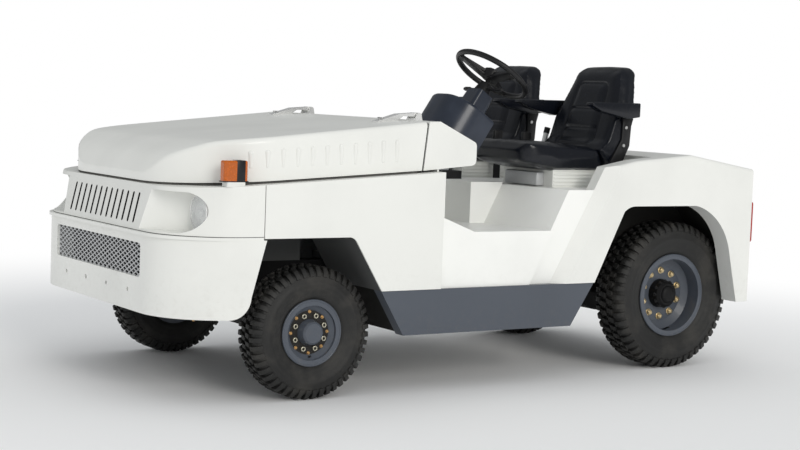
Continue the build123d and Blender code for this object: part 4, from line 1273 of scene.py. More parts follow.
    def build_rim_trim(self) -> None:
        """Rolled lip on the rim's outer edge, a cap on the hub and a tyre valve."""
        sign = self.side.value
        low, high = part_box("rim_" + self.word)
        flange, lip = (high.z - low.z) / 2, (high.y - low.y) / 2
        edge = ngon(64, flange - self.lip_drop)
        roll = [Vector((a, sign * (lip - self.lip_inset), b)) + self.centre for a, b in edge]
        self.shop.bar("rim_lip_" + self.word, roll, self.lip_radius, "slate_paint", self.body, True)
        hub_low, hub_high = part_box("hub_" + self.word)
        face = (hub_high.y - self.centre.y) if sign > 0 else (self.centre.y - hub_low.y)
        seat = face - self.sizes.cap_inset
        dome = [(sign * (seat + y), self.sizes.cap_radius * share) for y, share in self.cap_outline]
        cap = lathe(dome, self.centre, 36)
        self.shop.piece("hub_cap_" + self.word, cap, self.sizes.cap_slot, self.body, SMOOTH_ROUND)
        foot = self.valve_seat - self.sizes.bead_radius
        stem = [Vector((0.0, sign * (lip - inset), foot + rise)) for inset, rise in self.valve_line]
        line = [point + self.centre for point in stem]
        self.shop.bar("valve_" + self.word, line, self.valve_radius, "black_plastic", self.body)


@dataclass(frozen=True)
class SewnPanel:
    """A raised panel sewn into a seat's cover, with cross channels at the cuts."""

    middle: float
    half_across: float
    half_along: float
    corner: float
    rise: float
    slope: float
    seam: float
    channel: float
    cuts: tuple[float, float]
    taper: float = 0.0
    seam_width: float = 0.011

    def sunk(self, distance: float, depth: float) -> float:
        """Height of a sunk seam at a distance from its line."""
        return -depth * math.exp(-((distance / self.seam_width) ** 2) * 2.0)

    def height(self, across: float, along: float) -> float:
        """Height of the cover over the pad.

        Args:
            across: the point's place across the seat, from the seat's middle.
            along: its place along the panel, from the panel's middle.

        Returns:
            The height, negative in a seam.
        """
        half = self.half_across - max(0.0, along) * self.taper
        edge = rounded_box(across, along, half, self.half_along, self.corner)
        channel = 0.0
        if edge < 0:
            channel = min(self.sunk(along - cut, self.channel) for cut in self.cuts)
        return self.rise * clamp(-edge / self.slope) + self.sunk(edge, self.seam) + channel


CUSHION_PANEL = SewnPanel(
    middle=0.30,
    half_across=0.15,
    half_along=0.16,
    corner=0.06,
    rise=0.006,
    slope=0.05,
    seam=0.005,
    channel=0.004,
    cuts=(-0.06, 0.055),
)
BACK_PANEL = SewnPanel(
    middle=0.275,
    half_across=0.125,
    half_along=0.155,
    corner=0.03,
    rise=0.008,
    slope=0.04,
    seam=0.007,
    channel=0.006,
    cuts=(-0.075, 0.02),
    taper=0.1,
)
COVER_CLOTH = {
    "quality": 4,
    "mass": 0.3,
    "tension_stiffness": 25.0,
    "compression_stiffness": 25.0,
    "shear_stiffness": 10.0,
    "bending_stiffness": 2.0,
    "use_pressure": True,
    "uniform_pressure_force": 4.0,
}


@dataclass
class Seat:
    """One upholstered seat: cushion, back, armrests and the gear round them."""

    shop: Workshop
    frame: dict
    side: Side
    riser_half: float = 0.2
    voxel: float = 0.0075
    smoothings: int = 14
    puff: float = 0.012
    hollow_share: float = 0.3
    taut: int = 6
    cloth_frames: int = 14
    welt_radius: float = 0.0048
    welt_half: float = 0.2285
    welt_corner: float = 0.09
    welt_height: float = 0.076
    welt_dip: float = 0.012
    welt_front: float = 0.012
    welt_back: float = 0.1
    welt_run: float = 0.15
    pad_outline: Outline = (
        (0.0, -0.072), (0.0, -0.002), (0.307, -0.005), (0.312, -0.018), (0.25, -0.048), (0.08, -0.082)
    )
    pad_off: float = 0.288
    pad_half: float = 0.0275
    pad_edge: float = 0.016
    plate_off: float = 0.25275
    plate_half: float = 0.00775
    plate_edge: float = 0.003
    bolt_off: float = 0.2605
    bolt_radius: float = 0.009
    bolt_tall: float = 0.006
    bolt_edge: float = 0.0015
    first_bolt: tuple[float, float] = (0.045, -0.125)
    bolt_step: Point = (0.012, 0.0, -0.09)
    belt_off: float = 0.262
    belt_x: float = 0.15
    y: float = field(init=False)
    floor: float = field(init=False)
    back_x: float = field(init=False)

    def __post_init__(self) -> None:
        """Take the seat's place from the frame."""
        low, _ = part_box("seat_cushions")
        self.y = self.side.value * (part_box("seat_frames")[1].y - self.riser_half)
        self.floor = low.z
        self.back_x = low.x

    def build(self) -> None:
        """Make the seat's pieces."""
        cushion = self.upholster("cushion", "seat_cushions", self.cushion_seams)
        back = self.upholster("backrest", "seat_backs", self.back_seams)
        if self.side is Side.LEFT:
            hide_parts("seat_cushions")
            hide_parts("seat_backs")
        self.build_welt()
        self.build_arms()
        self.build_belt()

    def island(self, node: str) -> bpy.types.Mesh:
        """This seat's half of a CAD node, remeshed and softened.

        Args:
            node: the CAD node that holds both seats' solids.

        Returns:
            The skin's mesh.
        """
        bm = bmesh.new()
        bm.from_mesh(self.frame["nodes"][node].data)
        other = [vertex for vertex in bm.verts if vertex.co.y * self.side.value < 0]
        bmesh.ops.delete(bm, geom=other, context="VERTS")
        bmesh.ops.remove_doubles(bm, verts=bm.verts, dist=1e-5)
        source = self.shop.scratch("island", as_mesh(bm))
        remesh = {"mode": "VOXEL", "voxel_size": self.voxel, "use_smooth_shade": True}
        smooth = {"factor": 0.5, "iterations": self.smoothings}
        return self.shop.solidified(source, [("REMESH", remesh), ("SMOOTH", smooth)])

    def inflate(self, mesh: bpy.types.Mesh) -> None:
        """Let a cloth simulation crown the pad under a light inner pressure.

        Args:
            mesh: the pad's skin, changed in place by at most the puff.
        """
        source = self.shop.scratch("pad", mesh.copy())
        cloth = source.modifiers.new("cloth", "CLOTH")
        for key, value in COVER_CLOTH.items():
            setattr(cloth.settings, key, value)
        cloth.settings.effector_weights.gravity = 0.0
        cloth.point_cache.frame_start = 1
        cloth.point_cache.frame_end = self.cloth_frames
        scene = bpy.context.scene
        for moment in range(1, self.cloth_frames + 1):
            scene.frame_set(moment)
        graph = bpy.context.evaluated_depsgraph_get()
        blown = source.evaluated_get(graph).data
        swell = []
        for vertex, moved in zip(mesh.vertices, blown.vertices):
            outwards = (moved.co - vertex.co).dot(vertex.normal)
            swell.append(max(-self.hollow_share * self.puff, min(self.puff, outwards)))
        scene.frame_set(1)
        bpy.data.objects.remove(source)
        self.raise_skin(mesh, self.evened(mesh, swell))

    def evened(self, mesh: bpy.types.Mesh, amounts: list[float]) -> list[float]:
        """Average a value at each vertex with its neighbours, as a taut cover does.

        Args:
            mesh: the skin.
            amounts: one value for each vertex.

        Returns:
            The evened values.
        """
        for _ in range(self.taut):
            total, count = amounts[:], [1] * len(amounts)
            for edge in mesh.edges:
                first, second = edge.vertices
                total[first] += amounts[second]
                total[second] += amounts[first]
                count[first] += 1
                count[second] += 1
            amounts = [value / number for value, number in zip(total, count)]
        return amounts

    @staticmethod
    def raise_skin(mesh: bpy.types.Mesh, amounts: Sequence[float]) -> None:
        """Move each vertex along its normal.

        Args:
            mesh: the skin, changed in place.
            amounts: one distance for each vertex.
        """
        normals = [vertex.normal.copy() for vertex in mesh.vertices]
        for vertex, normal, amount in zip(mesh.vertices, normals, amounts):
            vertex.co = vertex.co + normal * amount

    def upholster(
        self, name: str, node: str, seams: Callable[[Vector, Vector], float]
    ) -> bpy.types.Object:
        """Make one padded piece from a plain soft solid.

        Args:
            name: the piece's name.
            node: the CAD node whose half it stands for.
            seams: gives the height of the cover over the pad at a point with a normal.

        Returns:
            The new object.
        """
        mesh = self.island(node)
        self.inflate(mesh)
        mesh.update()
        self.raise_skin(mesh, [seams(vertex.co, vertex.normal) for vertex in mesh.vertices])
        made = self.shop.mount(f"{name}_{self.side.word}", mesh, "black_vinyl", smooth=80.0)
        return made

    def cushion_seams(self, place: Vector, normal: Vector) -> float:
        """Height of the sewn panel on the cushion's top."""
        height = CUSHION_PANEL.height(place.y - self.y, place.x - self.back_x - CUSHION_PANEL.middle)
        return clamp((normal.z - 0.5) / 0.3) * height

    def back_seams(self, place: Vector, normal: Vector) -> float:
        """Height of the sewn panel on the back's front face."""
        height = BACK_PANEL.height(place.y - self.y, place.z - self.floor - BACK_PANEL.middle)
        return clamp((normal.x - 0.35) / 0.3) * height

    def build_welt(self) -> None:
        """Piping round the cushion's upper edge."""
        low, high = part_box("seat_cushions")
        corner, edge = self.welt_corner, self.y + self.welt_half
        front, back = high.x - self.welt_front, low.x + self.welt_back
        height = self.floor + self.welt_height
        line: list[Point] = [(back, edge, height - self.welt_dip), (back + self.welt_run, edge, height)]
        for turn in range(0, 91, 15):
            angle = math.radians(turn)
            x = front - corner + corner * math.sin(angle)
            line.append((x, edge - corner + corner * math.cos(angle), height))
        path = line + [(x, 2 * self.y - y, z) for x, y, z in reversed(line)]
        self.shop.bar("welt_" + self.side.word, path, self.welt_radius, "black_vinyl")

    def build_arms(self) -> None:
        """Rounded armrest pads, their brackets and pivot bolts."""
        low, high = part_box("armrests")
        rear, top = low.x, high.z
        foot = self.floor - top
        plate = [(0.003, -0.03), (0.06, -0.04), (0.067, foot + 0.15), (0.135, foot + 0.04)]
        plate += [(0.065, foot + 0.02), (0.015, foot + 0.12)]

        def pair(outline: Outline, off: float, half: float) -> bmesh.types.BMesh:
            """The same flat shape on both sides of the seat."""
            middles = (self.y - off, self.y + off)
            return merged(*(prism(outline, y - half, y + half, at) for y in middles))

        def at(a: float, b: float, c: float) -> Point:
            """Place from the armrests' rear upper corner."""
            return (rear + a, c, top + b)

        pads = self.shop.bevelled(pair(self.pad_outline, self.pad_off, self.pad_half), self.pad_edge, 4)
        soft = self.shop.mount("arm_pads_" + self.side.word, pads, "black_vinyl", smooth=SMOOTH_BAR)
        if self.side is Side.LEFT:
            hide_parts("armrests")
        plates = self.shop.bevelled(pair(plate, self.plate_off, self.plate_half), self.plate_edge)
        self.shop.mount("arm_plates_" + self.side.word, plates, "black_plastic")
        for arm, word in ((-1, "inner"), (1, "outer")):
            head = prism(ngon(12, self.bolt_radius), 0.0, self.bolt_tall, lambda a, b, c: (a, arm * c, b))
            unit = self.shop.bevelled(head, self.bolt_edge, 1)
            start = at(self.first_bolt[0], self.first_bolt[1], self.y + arm * self.bolt_off)
            name = f"arm_bolts_{word}_{self.side.word}"
            self.shop.repeat(name, unit, 2, start, "bolt_steel", step=self.bolt_step)

    def build_belt(self) -> None:
        """Seat-belt stalk with its buckle on the inner side of the seat."""
        x, y, z = self.back_x + self.belt_x, self.y - self.side.value * self.belt_off, self.floor
        word = self.side.word
        low, high = (x - 0.022, y - 0.002, z - 0.09), (x + 0.022, y + 0.002, z + 0.1)
        self.shop.slab("belt_web_" + word, low, high, "belt_web", 0.001, 1)
        low, high = (x - 0.028, y - 0.012, z + 0.09), (x + 0.028, y + 0.012, z + 0.165)
        self.shop.slab("belt_buckle_" + word, low, high, "black_plastic", 0.006, 3)


@dataclass
class Lamps:
    """Bezels and bulbs of the headlamps, and the bands, feet and bases of the marker lamps."""

    shop: Workshop
    bezel_radius: float = 0.0036
    bezel_back: float = 0.017
    bezel_gap: float = 0.001
    bulb_radius: float = 0.016
    bulb_span: tuple[float, float] = (0.016, 0.001)
    bulb_edge: float = 0.005
    marker_outer: float = 0.0015
    marker_inner: float = 0.0515
    marker_tall: float = 0.088

    def build(self) -> None:
        """Make the pieces on both sides."""
        for side in Side:
            self.build_headlamp(side)
        for side in Side:
            self.build_marker(side)

    def build_headlamp(self, side: Side) -> None:
        """Chrome ring round the lens and a bulb behind it.

        Args:
            side: which headlamp.
        """
        low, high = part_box("headlamp_lenses")
        radius, height = (high.z - low.z) / 2, (low.z + high.z) / 2
        y = side.value * (high.y - radius)
        ring = [(high.x - self.bezel_back, y + a, height + b) for a, b in ngon(48, radius + self.bezel_gap)]
        name = "lamp_bezel_" + side.word
        self.shop.bar(name, ring, self.bezel_radius, "bright_metal", closed=True, sides=2)
        outline, (rear, front) = ngon(16, self.bulb_radius), self.bulb_span
        bulb = prism(outline, low.x - rear, low.x - front, lambda a, b, c: (c, y + a, height + b))
        self.shop.mount("lamp_bulb_" + side.word, self.shop.bevelled(bulb, self.bulb_edge, 3), "reflector")

    def build_marker(self, side: Side) -> None:
        """Black band over the lens, a white foot and a black base under it.

        Args:
            side: which marker lamp.
        """
        low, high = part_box("marker_lamps")
        x, top, word = (low.x + high.x) / 2, high.z, side.word
        reach = (side.value * (high.y + self.marker_outer), side.value * (high.y - self.marker_inner))
        near, far = min(reach), max(reach)
        foot = top - self.marker_tall
        first, last = (x - 0.0415, near, foot + 0.0005), (x - 0.0005, far, top + 0.0012)
        self.shop.slab("marker_band_" + word, first, last, "black_plastic", 0.004)
        first, last = (x - 0.0425, near + 0.002, low.z), (x + 0.0425, far - 0.002, foot)
        self.shop.slab("marker_foot_" + word, first, last, "white_paint", 0.002, 1)
        first, last = (x - 0.0575, near, foot - 0.0025), (x + 0.0575, far, foot + 0.003)
        self.shop.slab("marker_base_" + word, first, last, "black_plastic", 0.003)


@dataclass
class HingeScrews:
    """Round-headed screws on the bonnet's hinge straps, square to the bonnet's slope."""

    shop: Workshop
    slope: float = math.atan2(88.0, 860.0)
    head_radius: float = 0.0075
    head_span: tuple[float, float] = (-0.001, 0.004)
    head_edge: float = 0.0016
    pitch: float = 0.026
    strap_half: float = 0.025
    from_end: float = 0.03
    over_foot: float = 0.0195

    def build(self) -> None:
        """Two screws on each strap."""
        low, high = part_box("hinge_straps")
        for side in Side:
            head = prism(ngon(14, self.head_radius), *self.head_span, lambda a, b, c: (a, b, c))
            bmesh.ops.rotate(head, verts=head.verts, matrix=Matrix.Rotation(self.slope, 3, "Y"))
            unit = self.shop.bevelled(head, self.head_edge)
            y = side.value * (high.y - self.strap_half) - self.pitch / 2
            start = (high.x - self.from_end, y, low.z + self.over_foot)
            name = "hinge_screws_" + side.word
            self.shop.repeat(name, unit, 2, start, "bolt_steel", "bonnet", step=(0.0, self.pitch, 0.0))


@dataclass
class BonnetSeal:
    """Rubber strip that the bonnet closes on."""

    shop: Workshop
    corner: float = 0.445
    half: float = 0.755
    radius: float = 0.0032
    fall: float = math.tan(math.radians(3.62))
    drop: float = 0.0065
    front_inset: float = 0.005
    back_inset: float = 0.05
    side_steps: int = 12

    def build(self) -> None:
        """A bar that follows the bonnet's lower edge."""
        low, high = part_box("bonnet")
        front, back = high.x - self.front_inset, low.x + self.back_inset

        def at(x: float, y: float) -> Point:
            """Point on the seam plane."""
            return (x, y, low.z - self.drop + (high.x - x) * self.fall)

        run = (front - self.corner - back) / self.side_steps
        line = [at(back + run * index, self.half) for index in range(self.side_steps + 1)]
        for turn in range(5, 91, 5):
            angle = math.radians(turn)
            x = front - self.corner + self.corner * math.sin(angle)
            line.append(at(x, self.half - self.corner + self.corner * math.cos(angle)))
        path = line + [(x, -y, z) for x, y, z in reversed(line)]
        self.shop.bar("bonnet_seal", path, self.radius, "seal_grey", sides=2)


@dataclass
class AirGuide:
    """Black sheet round the radiator's face, painted shade for the dark engine bay seen through the slots and
    the mesh, and black linings in the slots that paint the shade inside them.

    The sheet's line is (x, z) pairs in the frame's axes.
    """

    shop: Workshop
    half: float = 0.485
    thick: float = 0.004
    sheet_line: Outline = ((1.588, 0.50), (1.604, 0.715), (1.572, 0.915))
    lean: float = math.radians(13.0)
    slots: int = 13
    pitch: float = 0.059
    slot_place: tuple[float, float] = (1.6503, 0.818)
    slot_radius: float = 0.0089
    slot_straight: float = 0.0585
    liner_wall: float = 0.0009
    liner_span: tuple[float, float] = (-0.0086, -0.0004)

    def build(self) -> None:
        """A bent black sheet between the frame rails and the bonnet's lip, painted shade for the engine bay,
        and the slots' shade linings.
        """
        outline = [*self.sheet_line, *[(x - self.thick, z) for x, z in reversed(self.sheet_line)]]
        # The black sheet paints the shade of the engine bay behind the grille.
        sheet = prism(outline, -self.half, self.half, lambda a, b, c: (a, c, b))
        self.shop.piece("air_guide", sheet, "black_paint", smooth=None)
        self.build_liners()

    def build_liners(self) -> None:
        """Black linings inside each slot of the grille, painted shade for the dark inside of the slots."""
        outwards = Vector((math.cos(self.lean), 0.0, math.sin(self.lean)))
        up = Vector((-math.sin(self.lean), 0.0, math.cos(self.lean)))
        turns = [math.pi * k / 8 for k in range(9)]
        radius = self.slot_radius
        ends = [(radius * math.cos(turn), self.slot_straight + radius * math.sin(turn)) for turn in turns]
        outline = ends + [(-a, -b) for a, b in ends]

        def at(a: float, b: float, c: float) -> Vector:
            """Place in the leaning panel with c outwards."""
            return Vector((0.0, a, 0.0)) + up * b + outwards * c

        # Black linings that paint the shade inside the slots.
        unit = as_mesh(sleeve(outline, self.liner_wall, *self.liner_span, at))
        x, z = self.slot_place
        first = (x, -(self.slots // 2) * self.pitch, z)
        step = (0.0, self.pitch, 0.0)
        self.shop.repeat("slot_liners", unit, self.slots, first, "black_plastic", step=step, smooth=40.0)


@dataclass
class Cockpit:
    """Dials, stalk grips, the steering wheel's boss and arms, and the parking brake.

    Domes and grips are (height along the axis, radius) pairs, the brake's lines (x, z) pairs from its foot.
    """

    shop: Workshop
    tilt: float = math.radians(34.0)
    hub: Vector = field(default_factory=lambda: Vector((-0.202, 0.379, 1.460)))
    dial_back: float = 0.0502
    dial_drop: float = 0.315
    dial_spread: float = 0.112
    dial_radius: float = 0.037
    dial_ring: float = 0.004
    dial_span: tuple[float, float] = (-0.002, 0.0015)
    ticks: int = 11
    tick_turn: float = math.pi / 8
    tick_box: tuple[Point, Point] = ((-0.0008, 0.026, 0.001), (0.0008, 0.033, 0.0026))
    needle_box: tuple[Point, Point] = ((-0.0012, -0.006, 0.0018), (0.0012, 0.027, 0.0032))
    boss_dome: Outline = (
        (0.008, 0.0), (0.008, 0.040), (0.014, 0.038), (0.020, 0.030), (0.023, 0.018), (0.0235, 0.0)
    )
    arm_half: float = 0.026
    arm_root: float = 0.03
    arm_edge: float = 0.005
    rim_inset: float = 0.02
    stalk_place: tuple[float, float] = (-0.1517, 1.3854)
    stalk_grip: Outline = (
        (0.0, 0.0), (0.0, 0.0075), (0.012, 0.0105), (0.045, 0.0105), (0.056, 0.007), (0.058, 0.0)
    )
    grip_cover: float = 0.05
    brake_place: tuple[float, float] = (-0.747, 0.075)
    brake_rod: Outline = ((0.0, 0.0), (-0.015, 0.1), (-0.05, 0.25))
    brake_sleeve: Outline = ((-0.034, 0.19), (-0.042, 0.22), (-0.05, 0.255))
    brake_grip: Outline = ((-0.048, 0.25), (-0.052, 0.265), (-0.056, 0.28))

    @property
    def up(self) -> Vector:
        """Direction of the steering column, towards the driver."""
        return Vector((-math.sin(self.tilt), 0.0, math.cos(self.tilt)))

    @property
    def ahead(self) -> Vector:
        """Direction across the column, away from the driver."""
        return Vector((math.cos(self.tilt), 0.0, math.sin(self.tilt)))

    def build(self) -> None:
        """Make the controls' trim."""
        for sign, word in ((-1, "right"), (1, "left")):
            self.build_dial(sign, word)
        self.build_boss()
        self.build_arms()
        self.build_grips()
        self.build_brake()

    def build_dial(self, sign: int, word: str) -> None:
        """A round dial on the back of the dash pod, with ring, face, ticks and needle.

        Args:
            sign: the side of the column it is on.
            word: the name of that side.
        """
        across = Vector((0.0, 1.0, 0.0))
        face = self.hub - self.ahead * self.dial_back - self.up * self.dial_drop
        turn = Matrix((across, self.up, -self.ahead)).transposed().to_4x4()
        place = Matrix.Translation(face + across * (sign * self.dial_spread)) @ turn
        ring = [place @ Vector((a, b, 0.0)) for a, b in ngon(36, self.dial_radius)]
        self.shop.bar("dial_ring_" + word, ring, self.dial_ring, "bright_metal", closed=True, sides=2)
        outline = ngon(36, self.dial_radius - 0.001)
        disc = prism(outline, *self.dial_span, lambda a, b, c: place @ Vector((a, b, c)))
        self.shop.piece("dial_face_" + word, disc, "dial_face")
        marks = []
        for index in range(self.ticks):
            mark = block(*self.tick_box)
            spin = Matrix.Rotation((index - self.ticks // 2) * self.tick_turn, 4, "Z")
            bmesh.ops.transform(mark, matrix=place @ spin, verts=mark.verts)
            marks.append(mark)
        self.shop.piece("dial_ticks_" + word, merged(*marks), "bolt_steel", smooth=None)
        needle = block(*self.needle_box)
        bmesh.ops.transform(needle, matrix=place, verts=needle.verts)
        # The needle takes the red lens finish and so carries its faint painted glow.
        self.shop.piece("dial_needle_" + word, needle, "red_lens", smooth=None)

    def build_boss(self) -> None:
        """Domed cap of the steering wheel."""
        turn = Vector((0, 1, 0)).rotation_difference(self.up).to_matrix()
        shape = lathe(self.boss_dome, (0.0, 0.0, 0.0), 32)
        bmesh.ops.transform(shape, matrix=Matrix.Translation(self.hub) @ turn.to_4x4(), verts=shape.verts)
        self.shop.piece("wheel_boss", shape, "black_plastic", "steering_wheel", SMOOTH_ROUND)

    def build_arms(self) -> None:
        """Three broad dished arms from the steering wheel's hub to its rim."""
        low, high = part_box("steering_wheel")
        reach = (high.y - low.y) / 2 - self.rim_inset
        dish = [(self.arm_root, -0.033), (reach, -0.008), (reach, 0.006), (self.arm_root, -0.018)]
        up, ahead, across = self.up, self.ahead, Vector((0.0, 1.0, 0.0))
        arms = []
        for index in range(3):
            turn = 2 * math.pi * index / 3
            out = across * math.cos(turn) + ahead * math.sin(turn)
            side = up.cross(out)
            half = self.arm_half
            arms.append(prism(dish, -half, half, lambda a, b, c: self.hub + out * a + up * b + side * c))
        mesh = self.shop.bevelled(merged(*arms), self.arm_edge)
        self.shop.mount("wheel_arms", mesh, "black_plastic", "steering_wheel")

    def build_grips(self) -> None:
        """Moulded ends on the column's two stalks."""
        low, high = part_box("steering_column")
        x, z = self.stalk_place
        for sign, word, tip in ((-1, "right", low.y), (1, "left", high.y)):
            profile = [(sign * (y - self.grip_cover), r) for y, r in self.stalk_grip]
            shape = lathe(profile, (x, tip, z), 20)
            self.shop.piece("stalk_grip_" + word, shape, "black_plastic", smooth=SMOOTH_ROUND)

    def build_brake(self) -> None:
        """Bright parking-brake lever between the seats, with a black grip."""
        x, y = self.brake_place
        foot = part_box("seat_frames")[0].z
        bars = (
            ("brake_rod", self.brake_rod, 0.009, "bright_metal"),
            ("brake_sleeve", self.brake_sleeve, 0.0155, "bright_metal"),
            ("brake_grip", self.brake_grip, 0.0165, "black_plastic"),
        )
        for name, line, radius, slot in bars:
            self.shop.bar(name, [(x + ahead, y, foot + rise) for ahead, rise in line], radius, slot)
        low, high = (x - 0.06, y - 0.022, foot - 0.001), (x + 0.05, y + 0.022, foot + 0.028)
        self.shop.slab("brake_base", low, high, "black_plastic", 0.006)


@dataclass
class SeatRisers:
    """Ribs along the seat risers and the steel slide box in front of each."""

    shop: Workshop
    wide: float = 0.4
    ribs: int = 5
    rib_pitch: float = 0.0175
    rib_tall: float = 0.009
    rib_span: tuple[float, float] = (-0.001, 0.004)
    rib_inset: float = 0.006
    rib_foot: float = 0.008
    rib_edge: float = 0.0014
    box_half: float = 0.13
    box_deep: float = 0.045
    box_sunk: float = 0.001
    box_span: tuple[float, float] = (0.004, 0.07)
    box_edge: float = 0.006

    def build(self) -> None:
        """Ribs on the side faces and a box on the front."""
        low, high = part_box("seat_frames")
        for side in Side:
            for edge, out, word in ((high.y, 1, "outer"), (high.y - self.wide, -1, "inner")):
                faces = [side.value * (edge + out * reach) for reach in self.rib_span]
                rear, front = low.x + self.rib_inset, high.x - self.rib_inset
                rib = block((rear, min(faces), 0.0), (front, max(faces), self.rib_tall))
                unit = self.shop.bevelled(rib, self.rib_edge, 1)
                name, start = f"riser_ribs_{word}_{side.word}", (0.0, 0.0, low.z + self.rib_foot)
                step = (0.0, 0.0, self.rib_pitch)
                self.shop.repeat(name, unit, self.ribs, start, "white_paint", step=step)
            y = side.value * (high.y - self.wide / 2)
            near = (high.x - self.box_sunk, y - self.box_half, low.z + self.box_span[0])
            far = (high.x + self.box_deep, y + self.box_half, low.z + self.box_span[1])
            self.shop.slab("slide_box_" + side.word, near, far, "mesh_steel", self.box_edge)


@dataclass
class WheelArches:
    """Inner walls of the rear wheel arches and the flaps behind the front wheels."""

    shop: Workshop
    thick: float = 0.004
    rail_y: float = 0.345
    tyre_gap: float = 0.014
    lip: float = 0.03
    ahead: float = 0.47
    behind: float = 0.36
    rail_gap: float = 0.001
    roof_gap: float = 0.006
    flap_front: float = 0.012
    flap_foot: float = 0.007
    flap_lap: float = 0.0005
    flap_run: float = 0.125
    flap_thick: float = 0.008
    flap_inner: float = 0.40

    def build(self) -> None:
        """One wall and one flap on each side."""
        for side in Side:
            self.build_wall(side)
            self.build_flap(side)

    def build_wall(self, side: Side) -> None:
        """Bent sheet from the frame rail up past the tyre's inner side.

        Args:
            side: which rear wheel.
        """
        tyre_low, tyre_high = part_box("tyre_rear_left")
        axle_x = (tyre_low.x + tyre_high.x) / 2
        wall = tyre_low.y - self.tyre_gap
        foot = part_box("chassis_frame")[1].z + self.rail_gap
        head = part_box("rear_wheelhouses")[1].z - self.roof_gap
        line = [(self.rail_y, foot), (wall, foot), (wall, head), (wall + self.lip, head)]
        inset = wall - self.thick
        inner = [(self.rail_y, foot + self.thick), (inset, foot + self.thick)]
        inner += [(inset, head + self.thick), (wall + self.lip, head + self.thick)]
        start, end = axle_x - self.behind, axle_x + self.ahead
        shape = prism(line + inner[::-1], start, end, lambda a, b, c: (c, side.value * a, b))
        self.shop.piece("arch_wall_" + side.word, shape, "arch_black", smooth=None)

    def build_flap(self, side: Side) -> None:
        """Leaning flap between the sill and the frame, behind a front wheel.

        Args:
            side: which front wheel.
        """
        low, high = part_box("sill_left")
        front, foot = high.x - self.flap_front, low.z + self.flap_foot
        head, rear = foot + high.z - low.z, front - self.flap_thick
        flap = [(front, head), (rear, head), (rear - self.flap_run, foot), (front - self.flap_run, foot)]
        shape = prism(flap, self.flap_inner, low.y + self.flap_lap, lambda a, b, c: (a, side.value * c, b))
        self.shop.piece("mud_flap_" + side.word, shape, "arch_black", smooth=None)


@dataclass
class SpringClamps:
    """U-bolts that hold the front axle to its leaf springs."""

    shop: Workshop
    rail: float = 0.33
    half: float = 0.037
    pitch: float = 0.112
    bolt_radius: float = 0.007
    spring_tall: float = 0.027
    thread: float = 0.0355
    bend: tuple[float, float] = (0.003, 0.012)
    plate_half: tuple[float, float] = (0.072, 0.05)
    plate_span: tuple[float, float] = (0.003, 0.0148)
    plate_edge: float = 0.003
    nut_radius: float = 0.013
    nut_span: tuple[float, float] = (-0.011, 0.004)
    nut_edge: float = 0.0015

    def build(self) -> None:
        """Two U-bolts with a plate and four nuts on each side."""
        low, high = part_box("front_axle")
        head, foot = high.z + self.spring_tall, low.z - self.thread
        x, half = (low.x + high.x) / 2, self.half
        inwards, down = self.bend
        leg = [(0.0, -half, foot), (0.0, -half, head - down), (0.0, inwards - half, head)]
        bar = leg + [(0.0, -y, z) for _, y, z in reversed(leg)]
        step = (self.pitch, 0.0, 0.0)
        for side in Side:
            y = side.value * self.rail
            start = (x - self.pitch / 2, y, 0.0)
            unit = self.shop.tube(bar, self.bolt_radius)
            self.shop.repeat("u_bolts_" + side.word, unit, 2, start, "bolt_brass", step=step)
            (along, across), (under, over) = self.plate_half, self.plate_span
            near, far = (x - along, y - across, low.z + under), (x + along, y + across, low.z + over)
            self.shop.slab("clamp_plate_" + side.word, near, far, "black_paint", self.plate_edge, 1)
            for leg_y, word in ((-half, "inner"), (half, "outer")):
                outline, (under, over) = ngon(6, self.nut_radius), self.nut_span
                nut = prism(outline, low.z + under, low.z + over, lambda a, b, c: (a, leg_y + b, c))
                unit = self.shop.bevelled(nut, self.nut_edge, 1)
                self.shop.repeat(f"clamp_nuts_{word}_{side.word}", unit, 2, start, "nut_zinc", step=step)


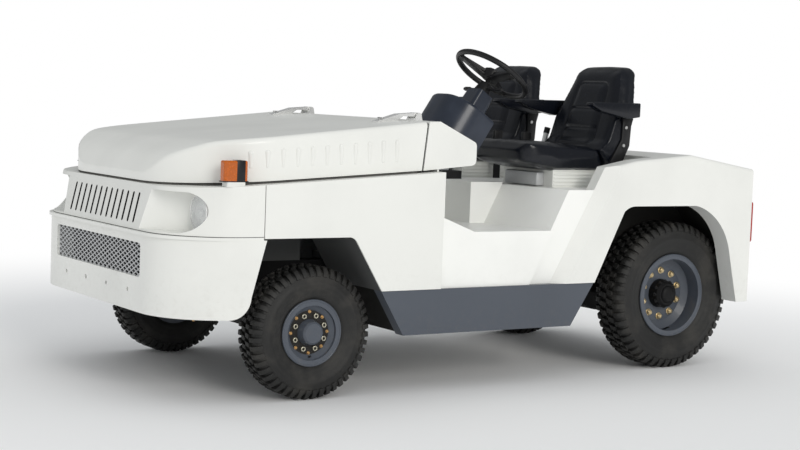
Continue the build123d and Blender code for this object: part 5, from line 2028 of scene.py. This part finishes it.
@dataclass
class Studio:
    """Pale floor, soft light, white surroundings and the photograph's camera."""

    shop: Workshop
    yaw: float = math.radians(-33.29)
    pitch: float = math.radians(4.62)
    roll: float = math.radians(2.17)
    eye: Point = (4.552, 6.851, 1.352)
    lens: float = 73.43
    sensor: float = 36.0
    floor_reach: float = 60.0
    floor_colour: Colour = (0.93, 0.93, 0.93)
    floor_fade: tuple[float, float] = (2.2, 5.5)
    fill: float = 0.72
    fill_colour: Colour = (0.965, 0.985, 1.0)
    gloss_dimming: float = 0.62
    sun: float = 0.98
    sun_colour: Colour = (1.0, 0.975, 0.93)
    sun_angle: float = math.radians(24.0)
    sun_towards: Point = (-0.04, -0.93, -0.37)

    def build(self) -> None:
        """Set up everything round the object."""
        self.build_floor()
        self.build_world()
        self.build_key()
        self.build_camera()
        bpy.context.scene.view_settings.view_transform = "Standard"

    def build_floor(self) -> None:
        """Large floor that fades to white away from the object."""
        mesh = bpy.data.meshes.new("floor")
        reach = self.floor_reach
        corners = [(-reach, -reach, 0), (reach, -reach, 0), (reach, reach, 0), (-reach, reach, 0)]
        mesh.from_pydata(corners, [], [(0, 1, 2, 3)])
        shade = Shade("pale_floor")
        near = shade.node("ShaderNodeBsdfDiffuse", None, {"Color": self.floor_colour})
        glow = shade.node("ShaderNodeEmission", None, {"Color": WHITE, "Strength": 1.0})
        fade = shade.distance().step(*self.floor_fade)
        mix = shade.node("ShaderNodeMixShader", None, {0: fade, 1: near.outputs[0], 2: glow.outputs[0]})
        mesh.materials.append(shade.finished(mix))
        self.shop.scratch("floor", mesh)

    def build_world(self) -> None:
        """Even fill light, dimmer in gloss; white to the camera and through glass."""
        world = bpy.data.worlds.new("studio")
        bpy.context.scene.world = world
        world.use_nodes = True
        graph = Graph(world.node_tree)
        path = graph.node("ShaderNodeLightPath").outputs
        seen = Value(graph, path["Is Camera Ray"]) + Value(graph, path["Is Transmission Ray"])
        strength = (1.0 - Value(graph, path["Is Glossy Ray"]) * self.gloss_dimming) * self.fill
        soft = graph.node("ShaderNodeBackground", None, {"Color": self.fill_colour, "Strength": strength})
        white = graph.node("ShaderNodeBackground", None, {"Color": WHITE, "Strength": 1.0})
        mix = graph.node("ShaderNodeMixShader", None, {0: seen, 1: soft.outputs[0], 2: white.outputs[0]})
        graph.node("ShaderNodeOutputWorld", None, {0: mix.outputs[0]})

    def build_key(self) -> None:
        """One broad soft key light from the left and above."""
        lamp = bpy.data.lights.new("key", "SUN")
        lamp.energy = self.sun
        lamp.angle = self.sun_angle
        lamp.color = self.sun_colour
        key = self.shop.scratch("key", lamp)
        key.rotation_euler = Vector(self.sun_towards).to_track_quat("-Z", "Y").to_euler()

    def build_camera(self) -> None:
        """Camera solved from the photograph."""
        spin = Matrix.Rotation(self.yaw, 3, "Z")
        right, ahead, up = spin @ Vector((-1, 0, 0)), spin @ Vector((0, -1, 0)), Vector((0, 0, 1))
        gaze = math.cos(self.pitch) * ahead - math.sin(self.pitch) * up
        lift = math.cos(self.pitch) * up + math.sin(self.pitch) * ahead
        axis_x = math.cos(self.roll) * right + math.sin(self.roll) * lift
        axis_y = math.cos(self.roll) * lift - math.sin(self.roll) * right
        turn = Matrix((axis_x, axis_y, -gaze)).transposed().to_4x4()
        data = bpy.data.cameras.new("photo")
        data.lens = self.lens
        data.sensor_width = self.sensor
        data.clip_end = 4 * self.floor_reach
        camera = self.shop.scratch("photo", data)
        camera.matrix_world = Matrix.Translation(self.eye) @ turn
        bpy.context.scene.camera = camera


def main() -> None:
    """Load the frame, dress it and set the stage."""
    logging.basicConfig(level=logging.INFO, format="%(name)s: %(message)s")
    for scene_object in list(bpy.data.objects):
        bpy.data.objects.remove(scene_object)
    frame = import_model()
    shop = Workshop()
    PaintShop(shop, frame).build()
    for side in Side:
        for axle in Axle:
            Wheel(shop, axle, side).build()
        Seat(shop, frame, side).build()
    trim = (Lamps, HingeScrews, BonnetSeal, AirGuide, Cockpit, SeatRisers, WheelArches, SpringClamps)
    for group in (*trim, Studio):
        group(shop).build()
        LOG.info("built %s", group.__name__)


if __name__ == "__main__":
    main()
